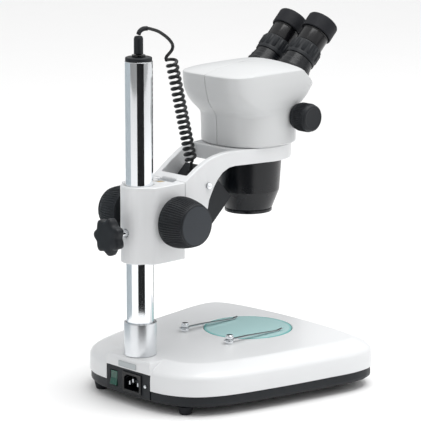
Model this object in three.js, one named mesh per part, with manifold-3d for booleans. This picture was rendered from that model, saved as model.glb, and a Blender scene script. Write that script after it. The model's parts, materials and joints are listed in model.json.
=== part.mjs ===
// A pillar stereo microscope: lit base, chrome column, focusing arm, zoom head and two eyepieces.
// Millimetres, +Z up. +X is the user's right and -Y is the user's side.
import * as THREE from "three";
import { mergeVertices } from "three/addons/utils/BufferGeometryUtils.js";
import Module from "manifold-3d";

const wasm = await Module();
wasm.setup();

// ---- driving dimensions ----
const GAP = 0.3; // between pieces that touch
const OPTIC_Y = -52.758; // the optical axis, from the middle of the object's box
const COLUMN_Y = 163.4; // the column, behind the optical axis

const FOOT = { height: 9.5, top: 8.5, bottom: 6.5, rear: [68, 160], front: [98, -40] };
const PAN = { low: 9.5, high: 22, wall: 3, floor: 2.5, round: 5, inset: 1 };
const SHELL = { top: 53.7, shoulder: 12, slope: 23, wall: 3 };
const OUTLINE = [
  [36, 181.7], [63, 176.5], [86, 161.5], [101.5, 137], [118, 76], [130.5, 8],
  [136.5, -38], [131, -64], [112, -80], [80, -88], [40, -92], [0, -93],
];
const TONGUE = { half: 35.3, front: 116, frontHalf: 24, rear: 182.2, crest: 180.9 };
const PANEL = { half: 35, low: 12.3, high: 39.6, back: 178.2, face: 181.7 };
const SOCKET = { x: -7, z: 26, width: 24, height: 16.5, deep: 17, rim: 30, rimHigh: 22 };
const ROCKER = { x: 23, z: 26, width: 10.4, height: 16.4, tilt: 8 };
const GLASS = { r: 50, thick: 3.2 };
const CLIP = { x: 36, y: 63.5, r: 4.4, high: 9.5, reach: 82, width: 5 };

const POLE = { r: 15, bore: 12.5, low: 42, high: 374.7 };
const COLLAR = { r: 17.8, high: 90.3 };
const CAP = { r: 14.4, high: 379.2, spigot: 12.2 };
const PLUG = { r: 5, low: 382.2, high: 401.5, pin: 2.4 };

const BLOCK = { low: 157.5, high: 241.5, sleeve: 20.5, half: 27, seam: 121.7 };
const LINER = { inner: 15.05, outer: 16 };
const FOCUS = { y: 142, z: 203.3, shaft: 2.8 };
const GEAR = { module: 0.6, teeth: 12, width: 9 };
const FOCUS_KNOB = { inner: 35, outer: 67.6, shaft: 58, rInner: 28.2, rOuter: 22 };
const RAIL = { front: 119.7, back: 130, halfFront: 11, halfBack: 15.5, low: 162, high: 240 };
const CLAMP = { z: 191, shank: 4, knobR: 20.8, lobes: 7, low: 201, high: 213 };

const RING = { r: 47.6, bore: 38, low: 252, high: 268.7 };
const CHEEK = { plate: 113, outer: 29.5 };
const LAMP = { half: 18, y: 58.1, z: 200.4, rise: 47.2, long: 52.5, high: 39.6, gland: 8 };
const LAMP_PIVOT = { along: 45.4, r: 2, head: 3.4 };

const HEAD = { low: 269.3, floor: 3.7, wall: 3.2 };
const NOSE = { r: 37, waist: 34.6, waistZ: 214.6, low: 193.8, rLow: 26.8, rim: 26.5, rimLow: 190, wall: 2.4 };
const ZOOM = { y: -26, z: 299.5, inner: 51.5, outer: 75, r: 15.9, shaft: 3 };
const EYE = { half: 23, lift: 8, swing: 30.25, y: -42.5, z: 342.5, tube: 17, bore: 15.3 };
const CUP = { r: 18.2, inner: 16.3, low: 56.5, high: 74.5 };

const CORD = { r: 1.6, sides: 8, coilR: 7.2 };
const COIL_TOP = [116.4, 371.5];
const COIL_SPLIT = [103.4, 320];
const COIL_LOW = [86.5, 253];

// ---- finishes ----
const WHITE = { color: 0xe9eaea, roughness: 0.38, metalness: 0 };
const BLACK = { color: 0x17181a, roughness: 0.55, metalness: 0 };
const GLOSS = { color: 0x0d0e10, roughness: 0.2, metalness: 0.1 };
const RUBBER = { color: 0x141517, roughness: 0.85, metalness: 0 };
const CHROME = { color: 0xd9dcdf, roughness: 0.06, metalness: 1 };
const SATIN = { color: 0xb8bcc0, roughness: 0.32, metalness: 1 };
const STEEL = { color: 0x9aa0a4, roughness: 0.3, metalness: 1 };
const BRASS = { color: 0xb08d4a, roughness: 0.35, metalness: 1 };
const NYLON = { color: 0xd8d6cc, roughness: 0.6, metalness: 0 };
const BOARD = { color: 0x1f5a3a, roughness: 0.5, metalness: 0 };
const FROST = { color: 0xbfe3e0, roughness: 0.45, metalness: 0 };
const LENS = { color: 0x9fb6c8, roughness: 0.05, metalness: 0 };
const GREEN = { color: 0x1f7a52, roughness: 0.3, metalness: 0 };
const LABEL = { color: 0xc4c8cb, roughness: 0.4, metalness: 0.5 };

// ---- solids ----
function solid(geometry) {
  const bare = geometry.clone();
  bare.deleteAttribute("normal");
  bare.deleteAttribute("uv");
  const merged = mergeVertices(bare, 1e-4);
  const index = merged.index.array;
  const kept = [];
  for (let i = 0; i < index.length; i += 3) {
    const [a, b, c] = [index[i], index[i + 1], index[i + 2]];
    if (a !== b && b !== c && c !== a) kept.push(a, b, c);
  }
  const make = (triVerts) => {
    const vertProperties = merged.attributes.position.array;
    return new wasm.Manifold(new wasm.Mesh({ numProp: 3, vertProperties, triVerts }));
  };
  const made = make(new Uint32Array(kept));
  return made.volume() < 0 ? make(new Uint32Array(kept.reverse())) : made;
}

function join(...geometries) {
  return geometries.map(solid).reduce((all, next) => all.add(next));
}

function cut(body, ...geometries) {
  return geometries.map(solid).reduce((left, next) => left.subtract(next), body);
}

function rod(r, low, high, sides = 24, rHigh = r) {
  const bar = new THREE.CylinderGeometry(rHigh, r, high - low, sides);
  return bar.rotateX(Math.PI / 2).translate(0, 0, (low + high) / 2);
}

function rodX(r, low, high, y, z, sides = 24, rHigh = r) {
  return rod(r, low, high, sides, rHigh).rotateY(Math.PI / 2).translate(0, y, z);
}

function rodY(r, low, high, x, z, sides = 24) {
  return rod(r, low, high, sides).rotateX(-Math.PI / 2).translate(x, 0, z);
}

function box([x0, y0, z0], [x1, y1, z1]) {
  const block = new THREE.BoxGeometry(x1 - x0, y1 - y0, z1 - z0);
  return block.translate((x0 + x1) / 2, (y0 + y1) / 2, (z0 + z1) / 2);
}

function lathe(profile, sides = 28) {
  const points = profile.map(([r, z]) => new THREE.Vector2(r, z));
  return new THREE.LatheGeometry(points, sides).rotateX(Math.PI / 2);
}

function tube(inner, outer, low, high, sides = 36) {
  return lathe([[inner, low], [outer, low], [outer, high], [inner, high], [inner, low]], sides);
}

// An outline in the XY plane, raised from low to high.
function slab(points, low, high) {
  const shape = new THREE.Shape(points.map(([x, y]) => new THREE.Vector2(x, y)));
  const raised = new THREE.ExtrudeGeometry(shape, { depth: high - low, bevelEnabled: false });
  return raised.translate(0, 0, low);
}

// An outline in the YZ plane, drawn out along X from low to high.
function sideSlab(points, low, high) {
  return slab(points, low, high).rotateX(Math.PI / 2).rotateZ(Math.PI / 2);
}

function mirrored(half) {
  const other = half.filter(([x]) => x > 0).map(([x, y]) => [-x, y]);
  return [...half, ...other.reverse()];
}

// ---- the scene ----
const microscope = new THREE.Group();
const onOptic = new THREE.Group();
onOptic.position.y = OPTIC_Y;
microscope.add(onOptic);
const onColumn = new THREE.Group();
onColumn.position.y = COLUMN_Y;
onOptic.add(onColumn);

function piece(name, made, finish, parent = onOptic) {
  const { vertProperties, triVerts } = made.getMesh();
  const geometry = new THREE.BufferGeometry();
  geometry.setAttribute("position", new THREE.BufferAttribute(vertProperties, 3));
  geometry.setIndex(new THREE.BufferAttribute(triVerts, 1));
  geometry.computeVertexNormals();
  const mesh = new THREE.Mesh(geometry, new THREE.MeshStandardMaterial(finish));
  mesh.name = name;
  parent.add(mesh);
  return mesh;
}

const SIDES = [["left", -1], ["right", 1]];

// ---- base ----
function baseForm(low, high, round, slope, inset) {
  const ends = mirrored(OUTLINE).map(([x, y]) => new THREE.Vector3(x, y, 0));
  const curve = new THREE.CatmullRomCurve3(ends, true, "centripetal");
  const rim = curve.getSpacedPoints(64).slice(0, -1).map((p) => new THREE.Vector2(p.x, p.y));
  const form = new THREE.ExtrudeGeometry(new THREE.Shape(rim), {
    depth: high - low - 2 * round,
    bevelThickness: round,
    bevelSize: slope,
    bevelOffset: -slope - inset,
    bevelSegments: 3,
  });
  return form.translate(0, 0, low + round);
}

function makeBase() {
  const shellLow = PAN.high + GAP;
  const overhang = SHELL.shoulder + GAP;
  const above = box([-160, -120, shellLow], [160, TONGUE.rear, SHELL.top + 10]);
  const outer = baseForm(shellLow - overhang, SHELL.top, SHELL.shoulder, SHELL.slope, 0);
  const innerTop = SHELL.top - SHELL.wall;
  const innerSlope = SHELL.slope - SHELL.wall;
  const inner = baseForm(shellLow - overhang, innerTop, SHELL.shoulder, innerSlope, SHELL.wall);
  const tongue = sideSlab(
    [
      [TONGUE.front, 30], [TONGUE.rear, 30], [TONGUE.rear, 48], [TONGUE.crest, SHELL.top],
      [TONGUE.front, SHELL.top],
    ],
    -TONGUE.half,
    TONGUE.half,
  );
  const tongueHalf = [
    [TONGUE.half, 185], [TONGUE.half, 160], [TONGUE.frontHalf, TONGUE.front],
  ];
  const tonguePlan = slab(mirrored(tongueHalf), 20, 60);
  const tongueCave = box([-TONGUE.half + 3, TONGUE.front, 20], [TONGUE.half - 3, 178, innerTop]);
  const seatLow = innerTop - 4.2;
  let shell = solid(outer).add(solid(tongue).intersect(solid(tonguePlan)));
  shell = shell.intersect(solid(above)).subtract(solid(inner)).subtract(solid(tongueCave));
  shell = shell.add(solid(rod(GLASS.r + 6, seatLow, innerTop + 1, 32)));
  shell = cut(
    shell,
    rod(GLASS.r + GAP, SHELL.top - GLASS.thick - GAP, SHELL.top + 5, 48),
    rod(GLASS.r - 4, 30, 60, 32),
    rod(POLE.r + GAP, 30, 60, 40).translate(0, COLUMN_Y, 0),
    box([-PANEL.half - GAP, 170, 0], [PANEL.half + GAP, 200, PANEL.high + GAP]),
  );
  piece("base_shell", shell, WHITE);

  const panTop = PAN.high + 12;
  const tray = solid(baseForm(PAN.low, panTop, PAN.round, PAN.round, PAN.inset));
  const trayInset = PAN.inset + PAN.wall;
  const well = baseForm(PAN.low + PAN.floor, panTop + 20, 1, 1, trayInset);
  const pan = cut(
    tray.intersect(solid(box([-160, -120, 0], [160, 220, PAN.high]))),
    well,
    box([-PANEL.half - GAP, 170, PANEL.low - GAP], [PANEL.half + GAP, 200, 60]),
  );
  piece("base_pan", pan, BLACK);

  const footing = [[0, 0], [FOOT.bottom - 1, 0], [FOOT.bottom, 1], [FOOT.top, FOOT.height - GAP]];
  footing.push([0, FOOT.height - GAP]);
  for (const [side, sign] of SIDES) {
    for (const [end, place] of [["front", FOOT.front], ["rear", FOOT.rear]]) {
      const foot = piece("foot_" + end + "_" + side, solid(lathe(footing, 24)), RUBBER);
      foot.position.set(sign * place[0], place[1], 0);
    }
  }
}

function makeRearPanel() {
  const { x, z, width, height, deep, rim, rimHigh } = SOCKET;
  const face = PANEL.face;
  const hole = [rim - 2.4, rimHigh - 2.4];
  const bezel = [ROCKER.width + 1.2, ROCKER.height + 1.2];
  const slot = (cx, cz, [w, h], y0, y1) =>
    box([cx - w / 2, y0, cz - h / 2], [cx + w / 2, y1, cz + h / 2]);
  const plate = solid(box([-PANEL.half, PANEL.back, PANEL.low], [PANEL.half, face, PANEL.high]));
  piece(
    "rear_panel",
    cut(
      plate,
      slot(x, z, hole, 150, 200),
      slot(ROCKER.x, ROCKER.z, bezel, 150, 200),
      rodY(1.7, 150, 200, -28, z, 12),
    ),
    BLACK,
  );
  const back = face - deep - 2.5;
  const inlet = join(
    slot(x, z, [hole[0] - 2 * GAP, hole[1] - 2 * GAP], back, face + 0.5),
    slot(x, z, [rim, rimHigh], face + GAP, face + 1.5),
  );
  const mouth = [
    [-width / 2, height / 2 - 4], [-width / 2, -height / 2], [width / 2, -height / 2],
    [width / 2, height / 2 - 4], [width / 2 - 4, height / 2], [-width / 2 + 4, height / 2],
  ];
  const socket = slab(mouth, 0, deep + 10).rotateX(Math.PI / 2).translate(x, face + 10, z);
  piece("mains_inlet", cut(inlet, socket), BLACK);
  const pinBack = back + 2.5 + GAP;
  const pins = join(
    slot(x, z, [17, 8], pinBack, pinBack + 1.2),
    slot(x - 6.5, z - 1.5, [2, 4], pinBack, face - 2),
    slot(x + 6.5, z - 1.5, [2, 4], pinBack, face - 2),
    slot(x, z + 2.2, [2, 4], pinBack, face - 1),
  );
  piece("inlet_pins", pins, SATIN);
  const screw = join(
    rodY(1.4, PANEL.back, face + 0.5, -28, z, 12),
    rodY(2.6, face + GAP, face + 1.3, -28, z, 16),
  );
  piece("panel_screw", screw, CHROME);

  const half = ROCKER.height / 2;
  const wedge = sideSlab(
    [[-4, -half + 0.6], [0.8, -half + 0.2], [0, 0], [0.8, half - 0.2], [-4, half - 0.6]],
    -ROCKER.width / 2,
    ROCKER.width / 2,
  );
  const rocker = piece("power_rocker", solid(wedge), GREEN);
  rocker.position.set(ROCKER.x, face, ROCKER.z);
  rocker.rotation.x = THREE.MathUtils.degToRad(ROCKER.tilt);

  const label = box([-14, TONGUE.rear + GAP, 41.6], [14, TONGUE.rear + GAP + 0.6, 47.6]);
  piece("label_plate", solid(label), LABEL);
}

function makeBaseInside() {
  const floor = PAN.low + PAN.floor + GAP;
  const board = join(
    box([-48, 84, floor + 4], [48, 146, floor + 5.6]),
    box([-30, 92, floor + 5], [4, 122, floor + 25]),
    box([14, 96, floor + 5], [26, 130, floor + 18]),
    rod(3, floor, floor + 5, 10).translate(-40, 92, 0),
    rod(3, floor, floor + 5, 10).translate(40, 92, 0),
    rod(3, floor, floor + 5, 10).translate(-40, 138, 0),
    rod(3, floor, floor + 5, 10).translate(40, 138, 0),
  );
  piece("power_board", board, BOARD);
  const lampZ = 36;
  let lightBoard = join(rod(42, lampZ, lampZ + 1.6, 32));
  for (let i = 0; i < 3; i += 1) {
    const turn = (i * 2 * Math.PI) / 3;
    const leg = rod(3, floor, lampZ + 0.5, 8).translate(35 * Math.cos(turn), 35 * Math.sin(turn), 0);
    lightBoard = lightBoard.add(solid(leg));
  }
  for (let i = 0; i < 8; i += 1) {
    const turn = (i * Math.PI) / 4;
    const led = rod(2.5, lampZ + 1, lampZ + 3.4, 8);
    lightBoard = lightBoard.add(solid(led.translate(26 * Math.cos(turn), 26 * Math.sin(turn), 0)));
  }
  piece("stage_led_board", lightBoard, BOARD);
}

function makeStage() {
  const low = SHELL.top - GLASS.thick;
  piece("stage_glass", solid(rod(GLASS.r, low, SHELL.top, 48)), FROST);
  const deck = SHELL.top + GAP;
  const { r, high, reach, width } = CLIP;
  const stem = [
    [0, 0], [r - 0.5, 0], [r, 0.5], [r, 3], [r - 1.2, 3.6], [r - 1.2, 4.9],
    [r, 5.5], [r, high - 0.6], [r - 0.6, high], [0, high],
  ];
  const ribbon = [
    [-7, 3.8], [-7, 4.6], [4, 4.6], [30, 3.9], [reach - 8, 1.2], [reach, 2.6],
    [reach, 1.8], [reach - 8, 0.4], [30, 3.1], [4, 3.8],
  ];
  for (const [side, sign] of SIDES) {
    const clip = new THREE.Group();
    clip.position.set(sign * CLIP.x, CLIP.y, deck);
    onOptic.add(clip);
    piece("clip_post_" + side, solid(lathe(stem, 16)), CHROME, clip);
    const strip = sideSlab(ribbon.map(([y, z]) => [-y, z]), -width / 2, width / 2);
    const wide = r + 0.2;
    const eye = rod(wide, 3.8, 4.6, 24);
    const taper = [[wide / 2, 7], [1.6, -reach], [-1.6, -reach], [-wide / 2, 7]];
    const blade = solid(strip).intersect(solid(slab(taper, -5, 9))).add(solid(eye));
    piece("clip_blade_" + side, cut(blade, rod(r - 1.2 + GAP, -5, 9, 20)), STEEL, clip);
  }
}

// ---- column ----
function makeColumn() {
  const pole = tube(POLE.bore, POLE.r, POLE.low, POLE.high, 40);
  piece("column_pole", solid(pole), CHROME, onColumn);
  const collar = tube(POLE.r + GAP, COLLAR.r, SHELL.top + GAP, COLLAR.high, 40);
  piece("column_collar", solid(collar), SATIN, onColumn);
  const boltR = POLE.bore - GAP;
  const bolt = join(rod(boltR, POLE.low - 2, 62, 32), rod(14, POLE.low - 3.8, POLE.low - GAP, 6));
  piece("column_bolt", bolt, STEEL, onColumn);
  const jackR = 5.2;
  const lid = [
    [jackR + GAP, POLE.high - 8], [CAP.spigot, POLE.high - 8], [CAP.spigot, POLE.high + GAP],
    [CAP.r, POLE.high + GAP], [CAP.r, CAP.high - 0.8], [CAP.r - 0.8, CAP.high],
    [jackR + GAP, CAP.high], [jackR + GAP, POLE.high - 8],
  ];
  piece("pole_cap", solid(lathe(lid, 28)), BLACK, onColumn);
  const mouth = PLUG.pin + GAP;
  const flange = [CAP.high + GAP, CAP.high + 2.4];
  const jack = [
    [0, 362], [jackR, 362], [jackR, flange[0]], [7.3, flange[0]], [7.3, flange[1]],
    [mouth, flange[1]], [mouth, 368], [0, 368],
  ];
  piece("dc_jack", solid(lathe(jack, 24)), GLOSS, onColumn);
}

// ---- the curly cord ----
function along(from, to, name, finish) {
  const [y0, z0] = from;
  const [y1, z1] = to;
  const length = Math.hypot(y1 - y0, z1 - z0);
  const coil = piece(name, solid(rod(CORD.coilR, 0, length, 16)), finish);
  coil.position.set(0, y0, z0);
  coil.rotation.x = Math.atan2(-(y1 - y0), z1 - z0);
}

function makeCord() {
  const plug = [
    [0, 370], [PLUG.pin, 370], [PLUG.pin, PLUG.low], [PLUG.r, PLUG.low],
    [PLUG.r, PLUG.high - 2], [PLUG.r - 1.2, PLUG.high], [0, PLUG.high],
  ];
  piece("dc_plug", solid(lathe(plug, 24)), BLACK, onColumn);
  const sleeveRoute = new THREE.CatmullRomCurve3([
    new THREE.Vector3(0, COLUMN_Y, PLUG.high + 1.3),
    new THREE.Vector3(0, 162, 405.6),
    new THREE.Vector3(0, 157, 408.2),
    new THREE.Vector3(0, 151, 408.3),
  ]);
  const leadRoute = new THREE.CatmullRomCurve3([
    new THREE.Vector3(0, 150.4, 408.25),
    new THREE.Vector3(0, 144, 406.6),
    new THREE.Vector3(0, 136.5, 404.2),
    new THREE.Vector3(0, 129.6, 400.6),
    new THREE.Vector3(0, 122.6, 396),
    new THREE.Vector3(0, 116.4, 390.3),
    new THREE.Vector3(0, 112.4, 385.4),
    new THREE.Vector3(0, 112.2, 381),
    new THREE.Vector3(0, 114.4, 377.3),
    new THREE.Vector3(0, 116.6, 374.4),
    new THREE.Vector3(0, 117.4, 372.6),
  ]);
  const round = (r) => {
    const ring = new THREE.Shape();
    for (let i = 0; i < CORD.sides; i += 1) {
      const turn = (2 * Math.PI * (i + 0.5)) / CORD.sides;
      const place = [r * Math.cos(turn), r * Math.sin(turn)];
      if (i === 0) ring.moveTo(...place);
      else ring.lineTo(...place);
    }
    return ring;
  };
  const sweep = (r, extrudePath, steps) =>
    new THREE.ExtrudeGeometry(round(r), { steps, extrudePath, bevelEnabled: false });
  piece("plug_relief", solid(sweep(2.6, sleeveRoute, 8)), RUBBER);
  piece("cord_lead", solid(sweep(CORD.r, leadRoute, 16)), RUBBER);
  along(COIL_SPLIT, COIL_TOP, "cord_coil_upper", RUBBER);
  const upper = [COIL_SPLIT[0] - 0.07, COIL_SPLIT[1] - GAP];
  along(COIL_LOW, upper, "cord_coil_lower", RUBBER);
}

// ---- focus block ----
function gearOutline(teeth, module, width) {
  const pitch = (module * teeth) / 2;
  const points = [];
  for (let i = 0; i < teeth; i += 1) {
    const middle = ((i + 0.5) * 2 * Math.PI) / teeth;
    for (const [r, offset] of [
      [pitch - 1.25 * module, -1.2 * module], [pitch - 0.2, -width / 2], [pitch + 0.8 * module, -0.15],
      [pitch + 0.8 * module, 0.15], [pitch - 0.2, width / 2], [pitch - 1.25 * module, 1.2 * module],
    ]) {
      const turn = middle + offset / pitch;
      points.push([r * Math.cos(turn), r * Math.sin(turn)]);
    }
  }
  return points;
}

function makeFocusBlock() {
  const plan = [
    [BLOCK.half, BLOCK.seam], [BLOCK.half, 160], [26.3, 164], [24.3, 167.2], [20.5, 169.8],
    [16.5, 173.9],
  ];
  for (let turn = 48; turn >= 0; turn -= 8) {
    const angle = THREE.MathUtils.degToRad(turn);
    plan.push([BLOCK.sleeve * Math.sin(angle), COLUMN_Y + BLOCK.sleeve * Math.cos(angle)]);
  }
  const slack = 0.55;
  const dovetail = [
    [RAIL.halfFront + slack, BLOCK.seam - 1], [RAIL.halfFront + slack, BLOCK.seam],
    [RAIL.halfBack + slack, RAIL.back + GAP],
  ];
  const pocket = GEAR.width / 2 + 1.5;
  const block = cut(
    solid(slab(mirrored(plan), BLOCK.low, BLOCK.high)),
    rod(LINER.outer + 0.1, 100, 300, 40).translate(0, COLUMN_Y, 0),
    slab(mirrored(dovetail), 100, 300),
    box([-pocket, BLOCK.seam + 6, 100], [pocket, FOCUS.y - 2.6, 300]),
    rodX(4.6, -pocket, pocket, FOCUS.y, FOCUS.z, 24),
    rodX(FOCUS.shaft + 0.35, -60, 60, FOCUS.y, FOCUS.z, 24),
    rodY(CLAMP.shank + GAP, 175, 200, 0, CLAMP.z, 20),
  );
  piece("focus_block", block, WHITE);
  piece("column_liner", solid(tube(LINER.inner, LINER.outer, 159, 240, 40)), NYLON, onColumn);

  const shaft = rodX(FOCUS.shaft, -FOCUS_KNOB.shaft, FOCUS_KNOB.shaft, FOCUS.y, FOCUS.z, 24);
  const gear = slab(gearOutline(GEAR.teeth, GEAR.module, GEAR.module), -GEAR.width / 2, GEAR.width / 2);
  gear.rotateY(Math.PI / 2).translate(0, FOCUS.y, FOCUS.z);
  piece("pinion_shaft", join(shaft, gear), STEEL);
  for (const [side, sign] of SIDES) {
    const { inner, outer, rInner, rOuter } = FOCUS_KNOB;
    const bore = FOCUS.shaft + GAP;
    const end = FOCUS_KNOB.shaft + GAP;
    const knob = [
      [bore, inner], [rInner - 2, inner], [rInner, inner + 1.5], [rInner - 0.6, inner + 12],
      [rOuter + 1, outer - 1], [rOuter, outer], [0, outer], [0, end], [bore, end],
      [bore, inner],
    ];
    const turned = lathe(knob, 32).rotateY((sign * Math.PI) / 2);
    const made = piece("focus_knob_" + side, solid(turned), BLACK);
    made.position.set(0, FOCUS.y, FOCUS.z);
  }

  const grip = [];
  const steps = CLAMP.lobes * 6;
  for (let i = 0; i < steps; i += 1) {
    const turn = (2 * Math.PI * i) / steps;
    const r = CLAMP.knobR - 1.9 + 1.9 * Math.cos(CLAMP.lobes * turn);
    grip.push([r * Math.cos(turn), r * Math.sin(turn)]);
  }
  const body = new THREE.ExtrudeGeometry(
    new THREE.Shape(grip.map(([x, y]) => new THREE.Vector2(x, y))),
    {
      depth: CLAMP.high - CLAMP.low - 5,
      bevelThickness: 2.5,
      bevelSize: 2.5,
      bevelOffset: -2.5,
      bevelSegments: 2,
    },
  );
  body.translate(0, 0, CLAMP.low + 2.5).rotateX(-Math.PI / 2).translate(0, 0, CLAMP.z);
  const socket = rodY(CLAMP.shank + GAP, 180, 205, 0, CLAMP.z, 20);
  piece("clamp_knob", cut(solid(body), socket), BLACK);
  const tip = COLUMN_Y + LINER.outer + GAP;
  piece("clamp_screw", solid(rodY(CLAMP.shank, tip, 204.5, 0, CLAMP.z, 20)), CHROME);
}

// ---- arm ----
function makeArm() {
  const seam = BLOCK.seam - GAP;
  const side = [
    [seam, 178], [seam, 241.5], [114, 246.5], [108, 250.5], [102, 254.5], [95, 258.5],
    [87, 262.5], [79, 265.5], [70, 267.6], [60, RING.high], [-60, RING.high], [-60, RING.low],
    [55, RING.low], [62.8, 250.8], [70.6, 246.2], [76.2, 240], [80.8, 232.5], [84.3, 224.9],
    [87.5, 217.3], [88.7, 209.6], [94, 197], [105, 185],
  ];
  const outside = [
    [BLOCK.half, seam], [BLOCK.half, 105], [28.5, 90], [33, 70], [40, 40], [45, 15], [RING.r, 0],
  ];
  const gapEdge = [[20, CHEEK.plate], [20, 105], [21.5, 90], [26, 70], [30.5, 52], [0, 52]];
  const ringWall = 48;
  const plan = solid(slab(mirrored(outside), 150, 300)).add(solid(rod(RING.r, 150, 300, ringWall)));
  const gap = slab(mirrored(gapEdge), 150, 300);
  const hood = cut(plan, gap, rod(RING.bore, 150, 300, 48));
  let fork = hood.intersect(solid(sideSlab(side, -60, 60)));
  const lockTurn = -Math.PI / 5;
  const lockHole = rod(2.3, 30, 60, 12).rotateY(Math.PI / 2).rotateZ(lockTurn);
  const lockZ = (RING.low + RING.high) / 2;
  fork = cut(fork, lockHole.translate(0, 0, lockZ));
  const pivot = lampPoint(LAMP_PIVOT.along, 0);
  fork = cut(fork, rodX(LAMP_PIVOT.r + GAP, -60, 60, ...pivot, 16));
  fork = cut(fork, box([-RAIL.halfFront - GAP, RAIL.front - GAP, 150], [RAIL.halfFront + GAP, 130, 300]));
  piece("arm_fork", fork, WHITE);

  const rail = [
    [RAIL.halfFront, RAIL.front], [RAIL.halfFront, BLOCK.seam], [RAIL.halfBack, RAIL.back],
  ];
  const rackBack = RAIL.back - 2.5;
  const rackHalf = GEAR.width / 2;
  const rackSlot = box([-rackHalf - GAP, rackBack - GAP, 100], [rackHalf + GAP, 140, 300]);
  piece("slide_rail", cut(solid(slab(mirrored(rail), RAIL.low, RAIL.high)), rackSlot), STEEL);
  const pitchLine = FOCUS.y - (GEAR.module * GEAR.teeth) / 2;
  const pitch = Math.PI * GEAR.module;
  const root = pitchLine - 1.25 * GEAR.module;
  const tip = pitchLine + 0.7 * GEAR.module;
  const teeth = [[rackBack, RAIL.low], [rackBack, RAIL.high], [root, RAIL.high]];
  const count = Math.floor((RAIL.high - FOCUS.z - 1) / pitch);
  const low = Math.floor((FOCUS.z - RAIL.low - 1) / pitch);
  for (let i = count; i >= -low; i -= 1) {
    const z = FOCUS.z + i * pitch;
    for (const [y, dz] of [[root, 0.55], [tip, 0.14], [tip, -0.14], [root, -0.55]]) teeth.push([y, z + dz]);
  }
  teeth.push([root, RAIL.low]);
  piece("focus_rack", solid(sideSlab(teeth, -rackHalf, rackHalf)), BRASS);

  for (const [name, sign] of SIDES) {
    const cheek = CHEEK.outer;
    const slotted = cut(
      join(
        rodX(LAMP_PIVOT.r, LAMP.half - 4, cheek + 1, 0, 0, 16),
        rodX(LAMP_PIVOT.head, cheek + GAP, cheek + 2.2, 0, 0, 20),
      ),
      box([cheek + 1.4, -5, -0.4], [cheek + 5, 5, 0.4]),
    );
    const screw = piece("lamp_screw_" + name, slotted, CHROME);
    screw.rotation.z = sign > 0 ? 0 : Math.PI;
    screw.position.set(0, ...pivot);
  }

  const stud = join(
    rod(2, RING.bore + 0.5, 52, 12),
    rod(3.2, RING.r + 0.8, 52.5, 16),
    rod(6.5, 52, 62, 20),
  );
  const lock = piece("head_lock_screw", stud, BLACK);
  lock.position.z = lockZ;
  lock.rotation.set(0, Math.PI / 2, lockTurn, "ZYX");
}

// ---- lamp ----
function lampPoint(back, up) {
  const turn = THREE.MathUtils.degToRad(LAMP.rise);
  const y = LAMP.y + back * Math.cos(turn) - up * Math.sin(turn);
  return [y, LAMP.z + back * Math.sin(turn) + up * Math.cos(turn)];
}

function makeLamp() {
  const lamp = new THREE.Group();
  lamp.position.set(0, LAMP.y, LAMP.z);
  lamp.rotation.x = THREE.MathUtils.degToRad(LAMP.rise);
  onOptic.add(lamp);
  const { half, long, high } = LAMP;
  const body = cut(
    solid(box([-half, 0, -high / 2], [half, long, high / 2])),
    box([-half + 3, -5, -high / 2 + 3], [half - 3, 10, high / 2 - 3]),
    box([-half + 5, 5, -high / 2 + 5], [half - 5, long - 10, high / 2 - 5]),
    rodX(LAMP_PIVOT.r + GAP, -60, -half + 6, LAMP_PIVOT.along, 0, 16),
    rodX(LAMP_PIVOT.r + GAP, half - 6, 60, LAMP_PIVOT.along, 0, 16),
    rodY(3.4, long - 12, long + 5, 0, LAMP.gland, 16),
  );
  piece("lamp_housing", body, BLACK, lamp);
  const pane = box([-half + 3.3, 2.5, -high / 2 + 3.3], [half - 3.3, 4.5, high / 2 - 3.3]);
  piece("lamp_window", solid(pane), FROST, lamp);
  const gland = join(
    rodY(3, long - 8, long + 3, 0, LAMP.gland, 16),
    rodY(4.6, long + GAP, long + 2.4, 0, LAMP.gland, 20),
  );
  piece("lamp_gland", gland, RUBBER, lamp);
}

// ---- head ----
// A lathe whose rings are pressed into rounded plans: half width, reach to the rear and to the front.
function moulded(levels, sides) {
  const first = levels[0][0];
  const last = levels[levels.length - 1][0];
  const profile = [[0, first], ...levels.map(([z]) => [1, z]), [0, last]];
  const form = lathe(profile, sides);
  const place = form.getAttribute("position");
  for (let i = 0; i < place.count; i += 1) {
    const z = place.getZ(i);
    if (Math.hypot(place.getX(i), place.getY(i)) < 0.5) continue;
    const [, half, rear, front, rearForm, frontForm] = levels.find((l) => Math.abs(l[0] - z) < 1e-3);
    const turn = Math.atan2(place.getY(i), place.getX(i));
    const [reach, plan] = turn > 0 ? [rear, rearForm] : [front, frontForm];
    const press = (v) => (Math.abs(v) < 1e-4 ? 0 : Math.sign(v) * Math.abs(v) ** (2 / plan));
    place.setXYZ(i, half * press(Math.cos(turn)), reach * press(Math.sin(turn)), z);
  }
  return form;
}

function headForm(inset) {
  const t = inset;
  const rise = t > 0 ? HEAD.floor : 0;
  return moulded(
    [
      [HEAD.low + rise, 49.5 - t, 47.5 - t, 47.5 - t, 2.4, 2.4],
      [HEAD.low + rise + 1.7, 51 - t, 48.5 - t, 48.5 - t, 2.4, 2.4],
      [303, 50.5 - t, 50 - t, 44.5 - t, 2.4, 2.6],
      [312, 51.5 - t, 57 - t, 47 - t, 3, 3.5],
      [320, 52 - t, 61.8 - t, 53.5 - t, 3.9, 4.6],
      [329, 52 - t, 64.8 - t, 58 - t, 4.6, 6],
      [337, 52 - t, 66.2 - t, 60 - t, 4.6, 8],
      [349 - t, 51 - t, 68 - t, 60 - t, 4.6, 8],
      [352 - t, 48 - t, 57 - t, 60 - t, 3.6, 6],
      [355.5 - t, 34 - t, 43 - t, 50 - t, 2.8, 4],
      [358 - t, 14 - t, 20 - t, 40 - t, 2.2, 3],
    ],
    44,
  );
}

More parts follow.
